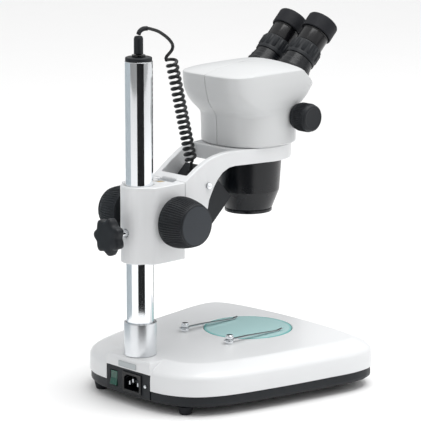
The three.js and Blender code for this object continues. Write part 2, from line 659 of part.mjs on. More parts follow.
function faceCutter(depth) {
  const slope = box([-90, -90, 0], [90, 90, 100]).rotateX(Math.PI / 4);
  const back = depth / Math.SQRT2;
  return slope.translate(0, EYE.y + back, EYE.z - back);
}

function onFace(x, lift, depth) {
  const shift = (lift - depth) / Math.SQRT2;
  return [x, EYE.y + (lift + depth) / Math.SQRT2, EYE.z + shift];
}

function makeHead() {
  const outer = solid(headForm(0)).subtract(solid(faceCutter(0)));
  const inner = solid(headForm(HEAD.wall)).subtract(solid(faceCutter(HEAD.wall)));
  let head = outer.subtract(inner);
  head = cut(
    head,
    rod(NOSE.r + 1, 260, 275, 40),
    rodX(ZOOM.shaft + 0.35, -90, 90, ZOOM.y, ZOOM.z, 20),
  );
  for (const [, sign] of SIDES) {
    const hole = rod(9.1, -12, 12, 28).rotateX(Math.PI / 4);
    head = cut(head, hole.translate(...onFace(sign * EYE.swing, EYE.lift, 0)));
  }
  for (const [side, sign] of SIDES) {
    const near = sign * 0.15;
    const far = sign * 120;
    const room = box([Math.min(near, far), -120, 200], [Math.max(near, far), 120, 400]);
    piece("head_shell_" + side, head.intersect(solid(room)), WHITE);
  }

  const wall = NOSE.wall;
  const high = HEAD.low + HEAD.floor + 8;
  const nose = [
    [NOSE.rim - wall, NOSE.rimLow], [NOSE.rim, NOSE.rimLow], [NOSE.rim, NOSE.low - 0.6],
    [NOSE.rLow - 1.2, NOSE.low - 0.4], [NOSE.rLow, NOSE.low + 0.4], [NOSE.waist, NOSE.waistZ],
    [NOSE.r, RING.low - 2], [NOSE.r + 0.7, RING.low], [NOSE.r + 0.7, high], [NOSE.r - wall, high],
    [NOSE.r - wall, RING.low - 2], [NOSE.waist - wall, NOSE.waistZ], [NOSE.rLow - wall, NOSE.low],
    [NOSE.rim - wall, NOSE.low - 1], [NOSE.rim - wall, NOSE.rimLow],
  ];
  piece("nosepiece", solid(lathe(nose, 40)), GLOSS);
  const glassR = NOSE.rLow - wall - GAP;
  piece("objective_lens", solid(rod(glassR, NOSE.low + 1, NOSE.low + 5, 40)), LENS);

  const shaft = rodX(ZOOM.shaft, -66, 66, ZOOM.y, ZOOM.z, 20);
  const drum = rodX(11, -17, 17, ZOOM.y, ZOOM.z, 24);
  piece("zoom_shaft", join(shaft, drum), STEEL);
  for (const [side, sign] of SIDES) {
    const { inner: near, outer: far, r } = ZOOM;
    const bore = ZOOM.shaft + GAP;
    const knob = [
      [bore, near], [r - 1.6, near], [r - 1.6, near + 3], [r, near + 4], [r, far - 6],
      [r - 0.8, far - 1], [r - 1.8, far], [0, far], [0, 66 + GAP], [bore, 66 + GAP], [bore, near],
    ];
    const turned = lathe(knob, 24).rotateY((sign * Math.PI) / 2);
    const made = piece("zoom_knob_" + side, solid(turned), BLACK);
    made.position.set(0, ZOOM.y, ZOOM.z);
  }
}

// ---- eyepieces ----
function makeEyepieces() {
  for (const [side, sign] of SIDES) {
    const eye = new THREE.Group();
    eye.position.set(...onFace(sign * EYE.half, 0, 0));
    eye.rotation.x = Math.PI / 4;
    onOptic.add(eye);

    const swingX = sign * (EYE.swing - EYE.half);
    const neck = [
      [EYE.bore, GAP], [19.6, GAP], [19.6, 4.5], [18.6, 5], [18.6, 10], [17.6, 11], [17.6, 14],
      [EYE.tube, 14.5], [EYE.tube, 18.7], [EYE.bore, 18.7], [EYE.bore, GAP],
    ];
    const tubing = cut(
      join(
        lathe(neck, 28),
        rod(17, GAP, 3, 28),
        rod(8.8, -6, 3, 28).translate(swingX, EYE.lift, 0),
      ),
      rod(EYE.bore, GAP + 3, 50, 28),
      rod(6, -10, 10, 24).translate(swingX, EYE.lift, 0),
    );
    piece("eyetube_" + side, tubing, BLACK, eye);

    const ribs = [];
    const count = 14;
    for (let i = 0; i < count; i += 1) {
      const step = (2 * Math.PI) / count;
      for (const [r, turn] of [[18.6, 0], [18.6, 0.36], [17.9, 0.44], [17.9, 0.56], [18.6, 0.64]]) {
        const angle = (i + turn) * step;
        ribs.push([r * Math.cos(angle), r * Math.sin(angle)]);
      }
    }
    const ringBand = join(slab(ribs, 22.5, 38), rod(18, 19, 23, 28));
    piece("dioptre_ring_" + side, cut(ringBand, rod(16.4, 10, 50, 28)), BLACK, eye);

    const ocular = [
      [0, 14], [15, 14], [15, 38.3], [16, 38.9], [16, 64.2], [12.5, 64.8], [12, 63.4], [0, 64.4],
    ];
    piece("eyepiece_" + side, solid(lathe(ocular, 28)), GLOSS, eye);
    const cup = [
      [CUP.inner, CUP.low], [CUP.r, CUP.low], [CUP.r, CUP.high - 1.2], [CUP.r - 0.8, CUP.high],
      [CUP.inner - 1.2, CUP.high], [CUP.inner - 1.2, 65.2], [CUP.inner, 64.8], [CUP.inner, CUP.low],
    ];
    piece("eyecup_" + side, solid(lathe(cup, 28)), RUBBER, eye);
  }
}

makeBase();
makeRearPanel();
makeBaseInside();
makeStage();
makeColumn();
makeCord();
makeFocusBlock();
makeArm();
makeLamp();
makeHead();
makeEyepieces();

export default microscope;
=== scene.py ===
"""A pillar stereo microscope: lit base, chrome column, focusing arm, zoom head and two eyepieces."""

import json
import logging
import math
from dataclasses import dataclass
from enum import Enum

import bmesh
import bpy
from mathutils import Matrix, Vector

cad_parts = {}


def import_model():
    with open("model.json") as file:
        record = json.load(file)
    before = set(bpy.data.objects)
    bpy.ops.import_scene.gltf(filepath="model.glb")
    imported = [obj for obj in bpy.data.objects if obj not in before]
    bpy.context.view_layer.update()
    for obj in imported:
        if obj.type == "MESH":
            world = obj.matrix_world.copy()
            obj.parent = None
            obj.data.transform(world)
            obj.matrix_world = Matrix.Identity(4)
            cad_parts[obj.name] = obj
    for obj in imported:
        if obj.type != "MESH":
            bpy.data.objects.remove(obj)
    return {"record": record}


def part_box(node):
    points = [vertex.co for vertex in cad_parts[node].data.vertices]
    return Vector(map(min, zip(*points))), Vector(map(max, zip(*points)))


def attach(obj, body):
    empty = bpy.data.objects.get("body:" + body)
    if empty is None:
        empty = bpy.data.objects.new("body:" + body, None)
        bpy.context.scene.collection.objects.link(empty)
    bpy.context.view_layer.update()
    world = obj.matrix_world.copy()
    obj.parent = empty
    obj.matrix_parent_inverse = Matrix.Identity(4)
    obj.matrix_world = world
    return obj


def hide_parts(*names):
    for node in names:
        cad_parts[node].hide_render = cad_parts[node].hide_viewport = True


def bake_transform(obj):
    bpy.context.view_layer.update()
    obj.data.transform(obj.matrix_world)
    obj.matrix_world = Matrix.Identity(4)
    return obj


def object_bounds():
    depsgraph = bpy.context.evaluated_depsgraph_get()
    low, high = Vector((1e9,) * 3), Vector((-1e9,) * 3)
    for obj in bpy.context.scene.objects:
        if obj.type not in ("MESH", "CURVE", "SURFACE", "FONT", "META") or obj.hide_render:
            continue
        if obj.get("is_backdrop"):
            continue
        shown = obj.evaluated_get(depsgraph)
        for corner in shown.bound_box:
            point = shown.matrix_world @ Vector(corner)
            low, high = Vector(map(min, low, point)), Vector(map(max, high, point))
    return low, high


MM = 0.001
SMOOTH_ANGLE = math.radians(32)
FLAT_ANGLE = math.radians(0.6)
BEVEL_ANGLE = 34
NEAR = 2e-6
CAD_NEAR = 1e-4
SHELL_NEAR = 3e-4

Point2 = tuple[float, float]
Point3 = tuple[float, float, float]
Colour = tuple[float, float, float]

log = logging.getLogger("microscope")


# ---- meshes ----

def new_object(name: str, points: list[Vector], faces: list[list[int]]) -> bpy.types.Object:
    """Makes a linked mesh object.

    Args:
        name: the object's name.
        points: its vertices, in metres, in the shared frame.
        faces: vertex numbers of each face.
    Returns:
        The object, with its faces turned outwards and shaded smooth up to SMOOTH_ANGLE.
    """
    mesh = bpy.data.meshes.new(name)
    mesh.from_pydata([tuple(p) for p in points], [], faces)
    piece = bpy.data.objects.new(name, mesh)
    bpy.context.scene.collection.objects.link(piece)
    tidy_mesh(piece)
    return piece


def tidy_mesh(piece: bpy.types.Object, merge: float = NEAR) -> None:
    """Merges doubles, turns faces outwards and shades a mesh smooth.

    Args:
        piece: a mesh object.
        merge: the distance under which two vertices are one, in metres.
    """
    work = bmesh.new()
    work.from_mesh(piece.data)
    bmesh.ops.remove_doubles(work, verts=work.verts, dist=merge)
    bmesh.ops.dissolve_degenerate(work, edges=work.edges, dist=merge)
    bmesh.ops.recalc_face_normals(work, faces=work.faces)
    for face in work.faces:
        face.smooth = True
    work.to_mesh(piece.data)
    work.free()
    piece.data.set_sharp_from_angle(angle=SMOOTH_ANGLE)


def fillet(profile: list[Point2], radius: float, steps: int = 4) -> list[Point2]:
    """Rounds the inner corners of an open outline.

    Args:
        profile: the outline's points.
        radius: how far from a corner its arc starts, at most; short sides take less.
        steps: the pieces of each arc.
    Returns:
        The outline with an arc at each corner.
    """
    rounded = [profile[0]]
    for before, corner, after in zip(profile, profile[1:], profile[2:]):
        to_before = Vector(before) - Vector(corner)
        to_after = Vector(after) - Vector(corner)
        reach = min(radius, 0.45 * to_before.length, 0.45 * to_after.length)
        if reach < 1e-6:
            rounded.append(corner)
            continue
        start = Vector(corner) + to_before.normalized() * reach
        end = Vector(corner) + to_after.normalized() * reach
        for step in range(steps + 1):
            t = step / steps
            at = start * (1 - t) ** 2 + Vector(corner) * 2 * t * (1 - t) + end * t * t
            rounded.append((at.x, at.y))
    rounded.append(profile[-1])
    return rounded


def turned(
    name: str, profile: list[Point2], place: Matrix, sides: int = 72, soften: float = 0.5
) -> bpy.types.Object:
    """Makes a turned body from its half section.

    Args:
        name: the object's name.
        profile: (radius, height) points in mm, from the axis to the axis, or a closed ring.
        place: where the body's own Z axis goes, in metres.
        sides: how many sides go round.
        soften: the size of the rounding at each corner, in mm.
    Returns:
        The body.
    """
    closed = profile[0] == profile[-1]
    outline = fillet(profile, soften)
    if closed:
        outline = outline[:-1]
    points: list[Vector] = []
    rings: list[list[int]] = []
    for radius, height in outline:
        if radius < 1e-6:
            points.append(place @ Vector((0, 0, height * MM)))
            rings.append([len(points) - 1] * sides)
            continue
        ring = []
        for side in range(sides):
            turn = 2 * math.pi * side / sides
            at = Vector((radius * math.cos(turn), radius * math.sin(turn), height)) * MM
            points.append(place @ at)
            ring.append(len(points) - 1)
        rings.append(ring)
    if closed:
        rings.append(rings[0])
    return new_object(name, points, skin(rings, wrap=True))


def skin(rings: list[list[int]], wrap: bool) -> list[list[int]]:
    """Joins rows of vertices with faces.

    Args:
        rings: rows of vertex numbers, all of one length.
        wrap: whether each row closes on itself.
    Returns:
        The faces, with repeated corners dropped.
    """
    faces = []
    count = len(rings[0])
    for lower, upper in zip(rings, rings[1:]):
        for i in range(count if wrap else count - 1):
            j = (i + 1) % count
            face: list[int] = []
            for corner in (lower[i], lower[j], upper[j], upper[i]):
                if corner not in face:
                    face.append(corner)
            if len(face) > 2:
                faces.append(face)
    return faces


def loft(name: str, rings: list[list[Vector]]) -> bpy.types.Object:
    """Makes a body through closed rings of points, in metres, with a face at each end.

    Args:
        name: the object's name.
        rings: the rings, all with the same number of points.
    Returns:
        The body.
    """
    points = [p for ring in rings for p in ring]
    count = len(rings[0])
    rows = [list(range(i * count, (i + 1) * count)) for i in range(len(rings))]
    return new_object(name, points, [*skin(rows, wrap=True), rows[0], rows[-1]])


def block(name: str, low: Point3, high: Point3) -> bpy.types.Object:
    """Makes a plain box between two corners in mm, for cutting."""
    rings = []
    for z in (low[2], high[2]):
        corners = [(low[0], low[1]), (high[0], low[1]), (high[0], high[1]), (low[0], high[1])]
        rings.append([Vector((x, y, z)) * MM for x, y in corners])
    return loft(name, rings)


def sweep(name: str, path: list[Vector], radius: float, sides: int = 10) -> bpy.types.Object:
    """Makes a round tube along a path.

    Args:
        name: the object's name.
        path: the centreline, in metres.
        radius: the tube's radius, in metres.
        sides: how many sides go round.
    Returns:
        The tube, with closed ends.
    """
    rings = []
    side = Vector((1, 0, 0))
    for i, at in enumerate(path):
        ahead = path[min(i + 1, len(path) - 1)] - path[max(i - 1, 0)]
        ahead.normalize()
        side = (side - ahead * side.dot(ahead)).normalized()
        up = ahead.cross(side)
        turns = [2 * math.pi * k / sides for k in range(sides)]
        rings.append([at + (side * math.cos(t) + up * math.sin(t)) * radius for t in turns])
    return loft(name, rings)


def apply_modifiers(piece: bpy.types.Object) -> bpy.types.Object:
    """Turns a piece's modifiers into its plain mesh."""
    graph = bpy.context.evaluated_depsgraph_get()
    made = bpy.data.meshes.new_from_object(piece.evaluated_get(graph))
    piece.modifiers.clear()
    piece.data = made
    return piece


def combine(
    piece: bpy.types.Object, others: list[bpy.types.Object], operation: str
) -> bpy.types.Object:
    """Joins or cuts a body with others, which are used up.

    Args:
        piece: the body that stays.
        others: closed bodies.
        operation: "UNION" or "DIFFERENCE".
    Returns:
        The piece, as a plain mesh.
    """
    for other in others:
        change = piece.modifiers.new("combine", "BOOLEAN")
        change.operation = operation
        change.solver = "EXACT"
        change.object = other
    apply_modifiers(piece)
    for other in others:
        bpy.data.objects.remove(other)
    tidy_mesh(piece)
    return piece


def soften_edges(
    piece: bpy.types.Object, width: float, segments: int, angle: float = BEVEL_ANGLE
) -> None:
    """Gives a piece live rounded edges.

    Args:
        piece: a mesh object.
        width: the rounding's size, in mm.
        segments: the pieces of each rounding.
        angle: the least angle of an edge that is rounded, in degrees.
    """
    bevel = piece.modifiers.new("soft edges", "BEVEL")
    bevel.width = width * MM
    bevel.segments = segments
    bevel.limit_method = "ANGLE"
    bevel.angle_limit = math.radians(angle)
    bevel.use_clamp_overlap = False
    bevel.miter_outer = "MITER_ARC"
    normals = piece.modifiers.new("even normals", "WEIGHTED_NORMAL")
    normals.keep_sharp = True


def refined(node: str, width: float) -> bpy.types.Object:
    """Copies a CAD node, joins its triangles and rounds its edges.

    Args:
        node: the CAD node's name.
        width: the rounding's size, in mm.
    Returns:
        A new piece named after the node.
    """
    source = bpy.data.objects[node]
    mesh = source.data.copy()
    mesh.materials.clear()
    piece = bpy.data.objects.new(node + "_body", mesh)
    bpy.context.scene.collection.objects.link(piece)
    work = bmesh.new()
    work.from_mesh(mesh)
    bmesh.ops.remove_doubles(work, verts=work.verts, dist=CAD_NEAR)
    bmesh.ops.dissolve_limit(
        work, angle_limit=FLAT_ANGLE, verts=work.verts, edges=work.edges
    )
    for face in work.faces:
        face.smooth = True
    work.to_mesh(mesh)
    work.free()
    mesh.set_sharp_from_angle(angle=SMOOTH_ANGLE)
    soften_edges(piece, width, 2)
    return piece


# ---- node trees ----

class Wiring:
    """Adds and joins the nodes of one tree."""

    def __init__(self, tree: bpy.types.NodeTree) -> None:
        self.tree = tree

    def add(self, kind: str, values: dict | None = None, **settings: object) -> bpy.types.Node:
        """Adds a node.

        Args:
            kind: the node's type.
            values: input values by socket name or number.
            settings: the node's own properties.
        Returns:
            The node.
        """
        node = self.tree.nodes.new(kind)
        for name, value in settings.items():
            setattr(node, name, value)
        for socket, value in (values or {}).items():
            node.inputs[socket].default_value = value
        return node

    def join(self, *pairs: tuple[bpy.types.NodeSocket, bpy.types.NodeSocket]) -> None:
        """Links each pair's first socket to its second."""
        for start, end in pairs:
            self.tree.links.new(start, end)


def node_group(
    name: str, kind: str, inputs: dict[str, str], outputs: dict[str, str]
) -> tuple[Wiring, bpy.types.Node, bpy.types.Node]:
    """Makes an empty node group with named sockets.

    Args:
        name: the group's name.
        kind: "ShaderNodeTree" or "GeometryNodeTree".
        inputs: socket types by name, such as "Float".
        outputs: socket types by name.
    Returns:
        The group's wiring, its input node and its output node.
    """
    tree = bpy.data.node_groups.new(name, kind)
    for way, sockets in (("INPUT", inputs), ("OUTPUT", outputs)):
        for label, socket in sockets.items():
            tree.interface.new_socket(label, in_out=way, socket_type="NodeSocket" + socket)
    wires = Wiring(tree)
    return wires, wires.add("NodeGroupInput"), wires.add("NodeGroupOutput")


# ---- repeats, by Geometry Nodes ----

class Round:
    """A tree that repeats its input mesh round the Z axis, then places the ring of copies."""

    tree: bpy.types.NodeTree | None = None

    @classmethod
    def build(cls) -> bpy.types.NodeTree:
        """Returns the tree, built the first time it is asked for."""
        if cls.tree is not None:
            return cls.tree
        sockets = {
            "Geometry": "Geometry", "Count": "Int", "Turn": "Vector", "Place": "Vector",
            "Material": "Material",
        }
        wires, entry, leave = node_group(
            "repeat round an axis", "GeometryNodeTree", sockets, {"Geometry": "Geometry"}
        )
        line = wires.add("GeometryNodeMeshLine", {"Offset": (0, 0, 0)})
        index = wires.add("GeometryNodeInputIndex")
        share = wires.add("ShaderNodeMath", operation="DIVIDE")
        angle = wires.add("ShaderNodeMath", {1: 2 * math.pi}, operation="MULTIPLY")
        spin = wires.add("ShaderNodeCombineXYZ")
        copies = wires.add("GeometryNodeInstanceOnPoints")
        plain = wires.add("GeometryNodeRealizeInstances")
        move = wires.add("GeometryNodeTransform")
        paint = wires.add("GeometryNodeSetMaterial")
        wires.join(
            (entry.outputs["Count"], line.inputs["Count"]),
            (index.outputs[0], share.inputs[0]),
            (entry.outputs["Count"], share.inputs[1]),
            (share.outputs[0], angle.inputs[0]),
            (angle.outputs[0], spin.inputs["Z"]),
            (line.outputs["Mesh"], copies.inputs["Points"]),
            (entry.outputs["Geometry"], copies.inputs["Instance"]),
            (spin.outputs[0], copies.inputs["Rotation"]),
            (copies.outputs[0], plain.inputs[0]),
            (plain.outputs[0], move.inputs["Geometry"]),
            (entry.outputs["Turn"], move.inputs["Rotation"]),
            (entry.outputs["Place"], move.inputs["Translation"]),
            (move.outputs[0], paint.inputs["Geometry"]),
            (entry.outputs["Material"], paint.inputs["Material"]),
            (paint.outputs[0], leave.inputs[0]),
        )
        cls.tree = wires.tree
        return cls.tree

    @classmethod
    def ring(
        cls, one: bpy.types.Object, count: int, place: Matrix, material: bpy.types.Material
    ) -> bpy.types.Object:
        """Repeats a rib and leaves a plain mesh.

        Args:
            one: one rib, made round the Z axis.
            count: how many there are.
            place: where the Z axis goes, in metres.
            material: their material.
        Returns:
            The rib's object, now holding all of them in place.
        """
        repeat = one.modifiers.new("repeat", "NODES")
        tree = cls.build()
        values = {
            "Count": count,
            "Turn": tuple(place.to_euler()),
            "Place": tuple(place.translation),
            "Material": material,
        }
        sockets = {s.name: s.identifier for s in tree.interface.items_tree if s.in_out == "INPUT"}
        repeat.node_group = tree
        for name, value in values.items():
            repeat[sockets[name]] = value
        return apply_modifiers(one)


def rib(name: str, profile: list[Point2], width: float, sink: float) -> bpy.types.Object:
    """Makes one rounded rib that runs along a body's outline.

    Args:
        name: the object's name.
        profile: (radius, height) points of its crest in mm, two or more.
        width: its width in mm.
        sink: how far its foot lies under the crest, in mm.
    Returns:
        The rib, on the +X side of the Z axis.
    """
    section = [(-0.5, -1.0), (-0.34, -0.25), (-0.12, 0.0), (0.12, 0.0), (0.34, -0.25), (0.5, -1.0)]
    rings = []
    last = len(profile) - 1
    for i, (radius, height) in enumerate(profile):
        crest = radius - (0.6 * sink if i in (0, last) else 0.0)
        row = [Vector((crest + depth * sink, side * width, height)) * MM for side, depth in section]
        rings.append(row)
    return loft(name, rings)


# ---- finishes ----

def grain_group() -> bpy.types.NodeTree:
    """Returns the group for a surface's fine grain and its broad, cloudy variation."""
    name = "surface grain"
    if name in bpy.data.node_groups:
        return bpy.data.node_groups[name]
    wires, entry, leave = node_group(
        name, "ShaderNodeTree", {"Vector": "Vector", "Scale": "Float", "Broad": "Float"},
        {"Fine": "Float", "Cloud": "Float"},
    )
    for size, label, detail in (("Scale", "Fine", 3.0), ("Broad", "Cloud", 5.0)):
        noise = wires.add("ShaderNodeTexNoise", {"Detail": detail})
        wires.join(
            (entry.outputs["Vector"], noise.inputs["Vector"]),
            (entry.outputs[size], noise.inputs["Scale"]),
            (noise.outputs[0], leave.inputs[label]),
        )
    return wires.tree


def dust_group() -> bpy.types.NodeTree:
    """Returns the group for fine dust, which settles where a surface faces up."""
    name = "settled dust"
    if name in bpy.data.node_groups:
        return bpy.data.node_groups[name]
    wires, entry, leave = node_group(
        name, "ShaderNodeTree", {"Vector": "Vector", "Amount": "Float"}, {"Mask": "Float"}
    )
    facing = wires.add("ShaderNodeNewGeometry")
    split = wires.add("ShaderNodeSeparateXYZ")
    specks = wires.add("ShaderNodeTexNoise", {"Scale": 260.0, "Detail": 6.0})
    level = wires.add("ShaderNodeMapRange", {"From Min": 0.5, "From Max": 0.8})
    both = wires.add("ShaderNodeMath", operation="MULTIPLY", use_clamp=True)
    amount = wires.add("ShaderNodeMath", operation="MULTIPLY")
    wires.join(
        (entry.outputs["Vector"], specks.inputs["Vector"]),
        (facing.outputs["Normal"], split.inputs[0]),
        (specks.outputs[0], level.inputs["Value"]),
        (split.outputs["Z"], both.inputs[0]),
        (level.outputs[0], both.inputs[1]),
        (both.outputs[0], amount.inputs[0]),
        (entry.outputs["Amount"], amount.inputs[1]),
        (amount.outputs[0], leave.inputs["Mask"]),
    )
    return wires.tree


@dataclass
class Ground:
    """A new material with object coordinates and a grained normal, for a finish to build on."""

    name: str
    grain: float
    cloud: float
    strength: float
    relief: float
    stretch: Point3 = (1.0, 1.0, 1.0)

    def __post_init__(self) -> None:
        """Makes the material and its grain."""
        self.material = bpy.data.materials.new(self.name)
        self.material.use_nodes = True
        self.wires = Wiring(self.material.node_tree)
        self.shader = self.material.node_tree.nodes["Principled BSDF"]
        self.place = self.wires.add("ShaderNodeTexCoord").outputs["Object"]
        scale = self.wires.add("ShaderNodeMapping", {"Scale": self.stretch})
        grain = self.wires.add("ShaderNodeGroup", node_tree=grain_group())
        grain.inputs["Scale"].default_value = self.grain
        grain.inputs["Broad"].default_value = self.cloud
        bump = self.wires.add(
            "ShaderNodeBump", {"Strength": self.strength, "Distance": self.relief * MM}
        )
        self.cloudy = grain.outputs["Cloud"]
        self.wires.join(
            (self.place, scale.inputs["Vector"]),
            (scale.outputs[0], grain.inputs["Vector"]),
            (grain.outputs["Fine"], bump.inputs["Height"]),
            (bump.outputs[0], self.shader.inputs["Normal"]),
        )

    def blend(self, low: Colour, high: Colour, share: bpy.types.NodeSocket) -> bpy.types.Node:
        """Adds a mix of two colours, whose result is its third output.

        Args:
            low: the colour at a share of 0.
            high: the colour at a share of 1.
            share: the socket that gives the share.
        Returns:
            The mix node.
        """
        mix = self.wires.add("ShaderNodeMix", data_type="RGBA")
        mix.inputs[6].default_value = (*low, 1)
        mix.inputs[7].default_value = (*high, 1)
        self.wires.join((share, mix.inputs[0]))
        return mix

    def shine(self, values: dict[str, float]) -> bpy.types.Material:
        """Sets values of the shader's inputs and returns the material."""
        for socket, value in values.items():
            self.shader.inputs[socket].default_value = value
        return self.material


@dataclass(frozen=True)
class Finish:
    """An opaque surface: its colour, gloss, grain and dust."""

    name: str
    colour: Colour
    roughness: float
    metallic: float = 0.0
    grain: float = 1400.0
    relief: float = 0.02
    cloud: float = 14.0
    tint: float = 0.05
    spread: float = 0.06
    dust: float = 0.0
    coat: float = 0.0
    stretch: Point3 = (1.0, 1.0, 1.0)
    specular: float = 0.5

    def build(self) -> bpy.types.Material:
        """Returns the finish's material, made the first time it is asked for."""
        if self.name in bpy.data.materials:
            return bpy.data.materials[self.name]
        base = Ground(self.name, self.grain, self.cloud, 0.5, self.relief, self.stretch)
        dust = base.wires.add("ShaderNodeGroup", node_tree=dust_group())
        dust.inputs["Amount"].default_value = self.dust
        dark = [c * (1 - self.tint) for c in self.colour]
        light = [min(1.0, c * (1 + self.tint)) for c in self.colour]
        tone = base.blend(dark, light, base.cloudy)
        dusty = base.blend(dark, (0.5, 0.49, 0.47), dust.outputs["Mask"])
        low, high = max(0.02, self.roughness - self.spread), min(1.0, self.roughness + self.spread)
        gloss = base.wires.add("ShaderNodeMapRange", {"To Min": low, "To Max": high})
        base.wires.join(
            (base.place, dust.inputs["Vector"]),
            (tone.outputs[2], dusty.inputs[6]),
            (dusty.outputs[2], base.shader.inputs["Base Color"]),
            (base.cloudy, gloss.inputs["Value"]),
            (gloss.outputs[0], base.shader.inputs["Roughness"]),
        )
        return base.shine({
            "Metallic": self.metallic, "Specular IOR Level": self.specular,
            "Coat Weight": self.coat, "Coat Roughness": 0.12,
        })


@dataclass(frozen=True)
class GlassFinish:
    """Glass, clear or frosted, whose edge is deeper in colour than its middle."""

    name: str
    colour: Colour
    edge: Colour
    roughness: float
    transmission: float
    centre: Point3
    inner: float
    outer: float

    def build(self) -> bpy.types.Material:
        """Returns the glass material, made the first time it is asked for."""
        if self.name in bpy.data.materials:
            return bpy.data.materials[self.name]
        base = Ground(self.name, 2200.0, 20.0, 0.3, 0.01)
        away = [-c for c in self.centre]
        centred = base.wires.add("ShaderNodeMapping", {"Location": away})
        flat = base.wires.add("ShaderNodeVectorMath", {1: (1, 1, 0)}, operation="MULTIPLY")
        far = base.wires.add("ShaderNodeVectorMath", operation="LENGTH")
        span = {"From Min": self.inner, "From Max": self.outer}
        ramp = base.wires.add("ShaderNodeMapRange", span)
        mix = base.blend(self.colour, self.edge, ramp.outputs[0])
        base.wires.join(
            (base.place, centred.inputs["Vector"]),
            (centred.outputs[0], flat.inputs[0]),
            (flat.outputs[0], far.inputs[0]),
            (far.outputs["Value"], ramp.inputs["Value"]),
            (mix.outputs[2], base.shader.inputs["Base Color"]),
        )
        return base.shine({
            "Roughness": self.roughness, "Transmission Weight": self.transmission, "IOR": 1.5,
        })


class Surface(Enum):
    """The finishes of the instrument's pieces."""

    ENAMEL = Finish("white enamel", (0.73, 0.74, 0.75), 0.34, relief=0.012, tint=0.012, coat=0.15)
    COVER = Finish("white cover", (0.6, 0.61, 0.615), 0.42, relief=0.015, tint=0.012, coat=0.05)
    BLACK = Finish("black moulding", (0.010, 0.012, 0.015), 0.46, relief=0.03, dust=0.01, specular=0.3)
    CAP = Finish("smooth black cap", (0.03, 0.035, 0.042), 0.42, relief=0.01, specular=0.3)
    SATIN_BLACK = Finish("satin black enamel", (0.004, 0.005, 0.007), 0.28, relief=0.01, specular=0.4)
    GLOSS = Finish("gloss black", (0.004, 0.004, 0.005), 0.18, relief=0.004, specular=0.4)
    RUBBER = Finish("black rubber", (0.008, 0.009, 0.012), 0.6, relief=0.03, dust=0.015, specular=0.25)
    CORD = Finish("cord sheath", (0.004, 0.005, 0.006), 0.32, relief=0.01, specular=0.4)
    CHROME = Finish(
        "chrome plate", (0.86, 0.88, 0.9), 0.07, 1.0, relief=0.002, spread=0.02, tint=0.02,
        stretch=(1, 1, 0.1),
    )
    SATIN = Finish(
        "satin metal", (0.72, 0.74, 0.76), 0.3, 1.0, relief=0.01, tint=0.05, stretch=(0.2, 0.2, 6),
    )
    STEEL = Finish("ground steel", (0.58, 0.6, 0.62), 0.32, 1.0, relief=0.01, stretch=(8, 0.3, 1))
    BRASS = Finish("machined brass", (0.72, 0.52, 0.22), 0.3, 1.0, relief=0.01)
    NYLON = Finish("natural nylon", (0.72, 0.7, 0.62), 0.5, tint=0.03)
    BOARD = Finish("circuit board", (0.02, 0.13, 0.06), 0.4, tint=0.2, cloud=90)
    GREEN = Finish("green rocker", (0.006, 0.07, 0.045), 0.25, relief=0.004, tint=0.1, coat=0.4)
    LABEL = Finish("grey foil label", (0.42, 0.45, 0.46), 0.35, 0.4, relief=0.006, tint=0.08)

    def material(self) -> bpy.types.Material:
        """Returns the finish's material."""
        return self.value.build()


# ---- fitting to the frame ----

@dataclass(frozen=True)
class Frame:
    """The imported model's bodies, joints and slots."""

    record: dict

    def body_of(self, node: str) -> str:
        """Returns the name of the body that holds a node."""
        bodies = self.record["behaviour"]["bodies"]
        return next(name for name, nodes in bodies.items() if node in nodes)

    def slot_of(self, node: str) -> str:
        """Returns the record's material slot of a node."""
        return next(s["material_slot"] for s in self.record["subparts"] if s["node"] == node)

    def joint(self, name: str) -> dict:
        """Returns the record's entry for a joint."""
        return next(j for j in self.record["behaviour"]["joints"] if j["name"] == name)

    def pivot(self, joint: str) -> Vector:
        """Returns the point that a hinge turns about, in metres."""
        return Vector(self.joint(joint)["pos_m"])

    def direction(self, joint: str) -> Vector:
        """Returns the direction of a joint's axis."""
        return Vector(self.joint(joint)["axis"])

    def middle(self, node: str) -> Vector:
        """Returns the middle of a node's box, in metres."""
        low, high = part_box(node)
        return (low + high) / 2

    def fit(
        self,
        piece: bpy.types.Object,
        surface: Surface | None,
        node: str,
        *replaced: str,
    ) -> bpy.types.Object:
        """Dresses a finished piece and puts it on its body.

        Args:
            piece: the piece, in place.
            surface: its finish, or None where it has its material.
            node: the CAD node whose body it takes.
            replaced: the CAD nodes that it stands for.
        Returns:
            The piece.
        """
        if surface is not None:
            piece.data.materials.clear()
            piece.data.materials.append(surface.material())
        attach(piece, self.body_of(node))
        if replaced:
            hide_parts(*replaced)
        log.info("%s: %d faces", piece.name, len(piece.data.polygons))
        return piece

    def refine(self, node: str, surface: Surface, width: float) -> bpy.types.Object:
        """Replaces a CAD node with its rounded copy and returns the copy."""
        return self.fit(refined(node, width), surface, node, node)

    def turn(
        self,
        name: str,
        profile: list[Point2],
        place: Matrix,
        sides: int,
        soften: float,
        surface: Surface,
        node: str,
        *replaced: str,
    ) -> bpy.types.Object:
        """Makes a turned body and puts it on a node's body; see turned and fit."""
        return self.fit(turned(name, profile, place, sides, soften), surface, node, *replaced)

    def dress(self, surface: Surface, *nodes: str) -> None:
        """Gives CAD nodes a finish and leaves them as they are."""
        for node in nodes:
            for held in bpy.data.objects[node].material_slots:
                held.material = surface.material()


SIDES: tuple[tuple[str, int], ...] = (("left", -1), ("right", 1))


def upright(at: Vector) -> Matrix:
    """Returns the placement of a body that stands at a point."""
    return Matrix.Translation(at)


def along_x(at: Vector, sign: int) -> Matrix:
    """Returns the placement of a body that points along +X or -X from a point."""
    return Matrix.Translation(at) @ Matrix.Rotation(sign * math.pi / 2, 4, "Y")


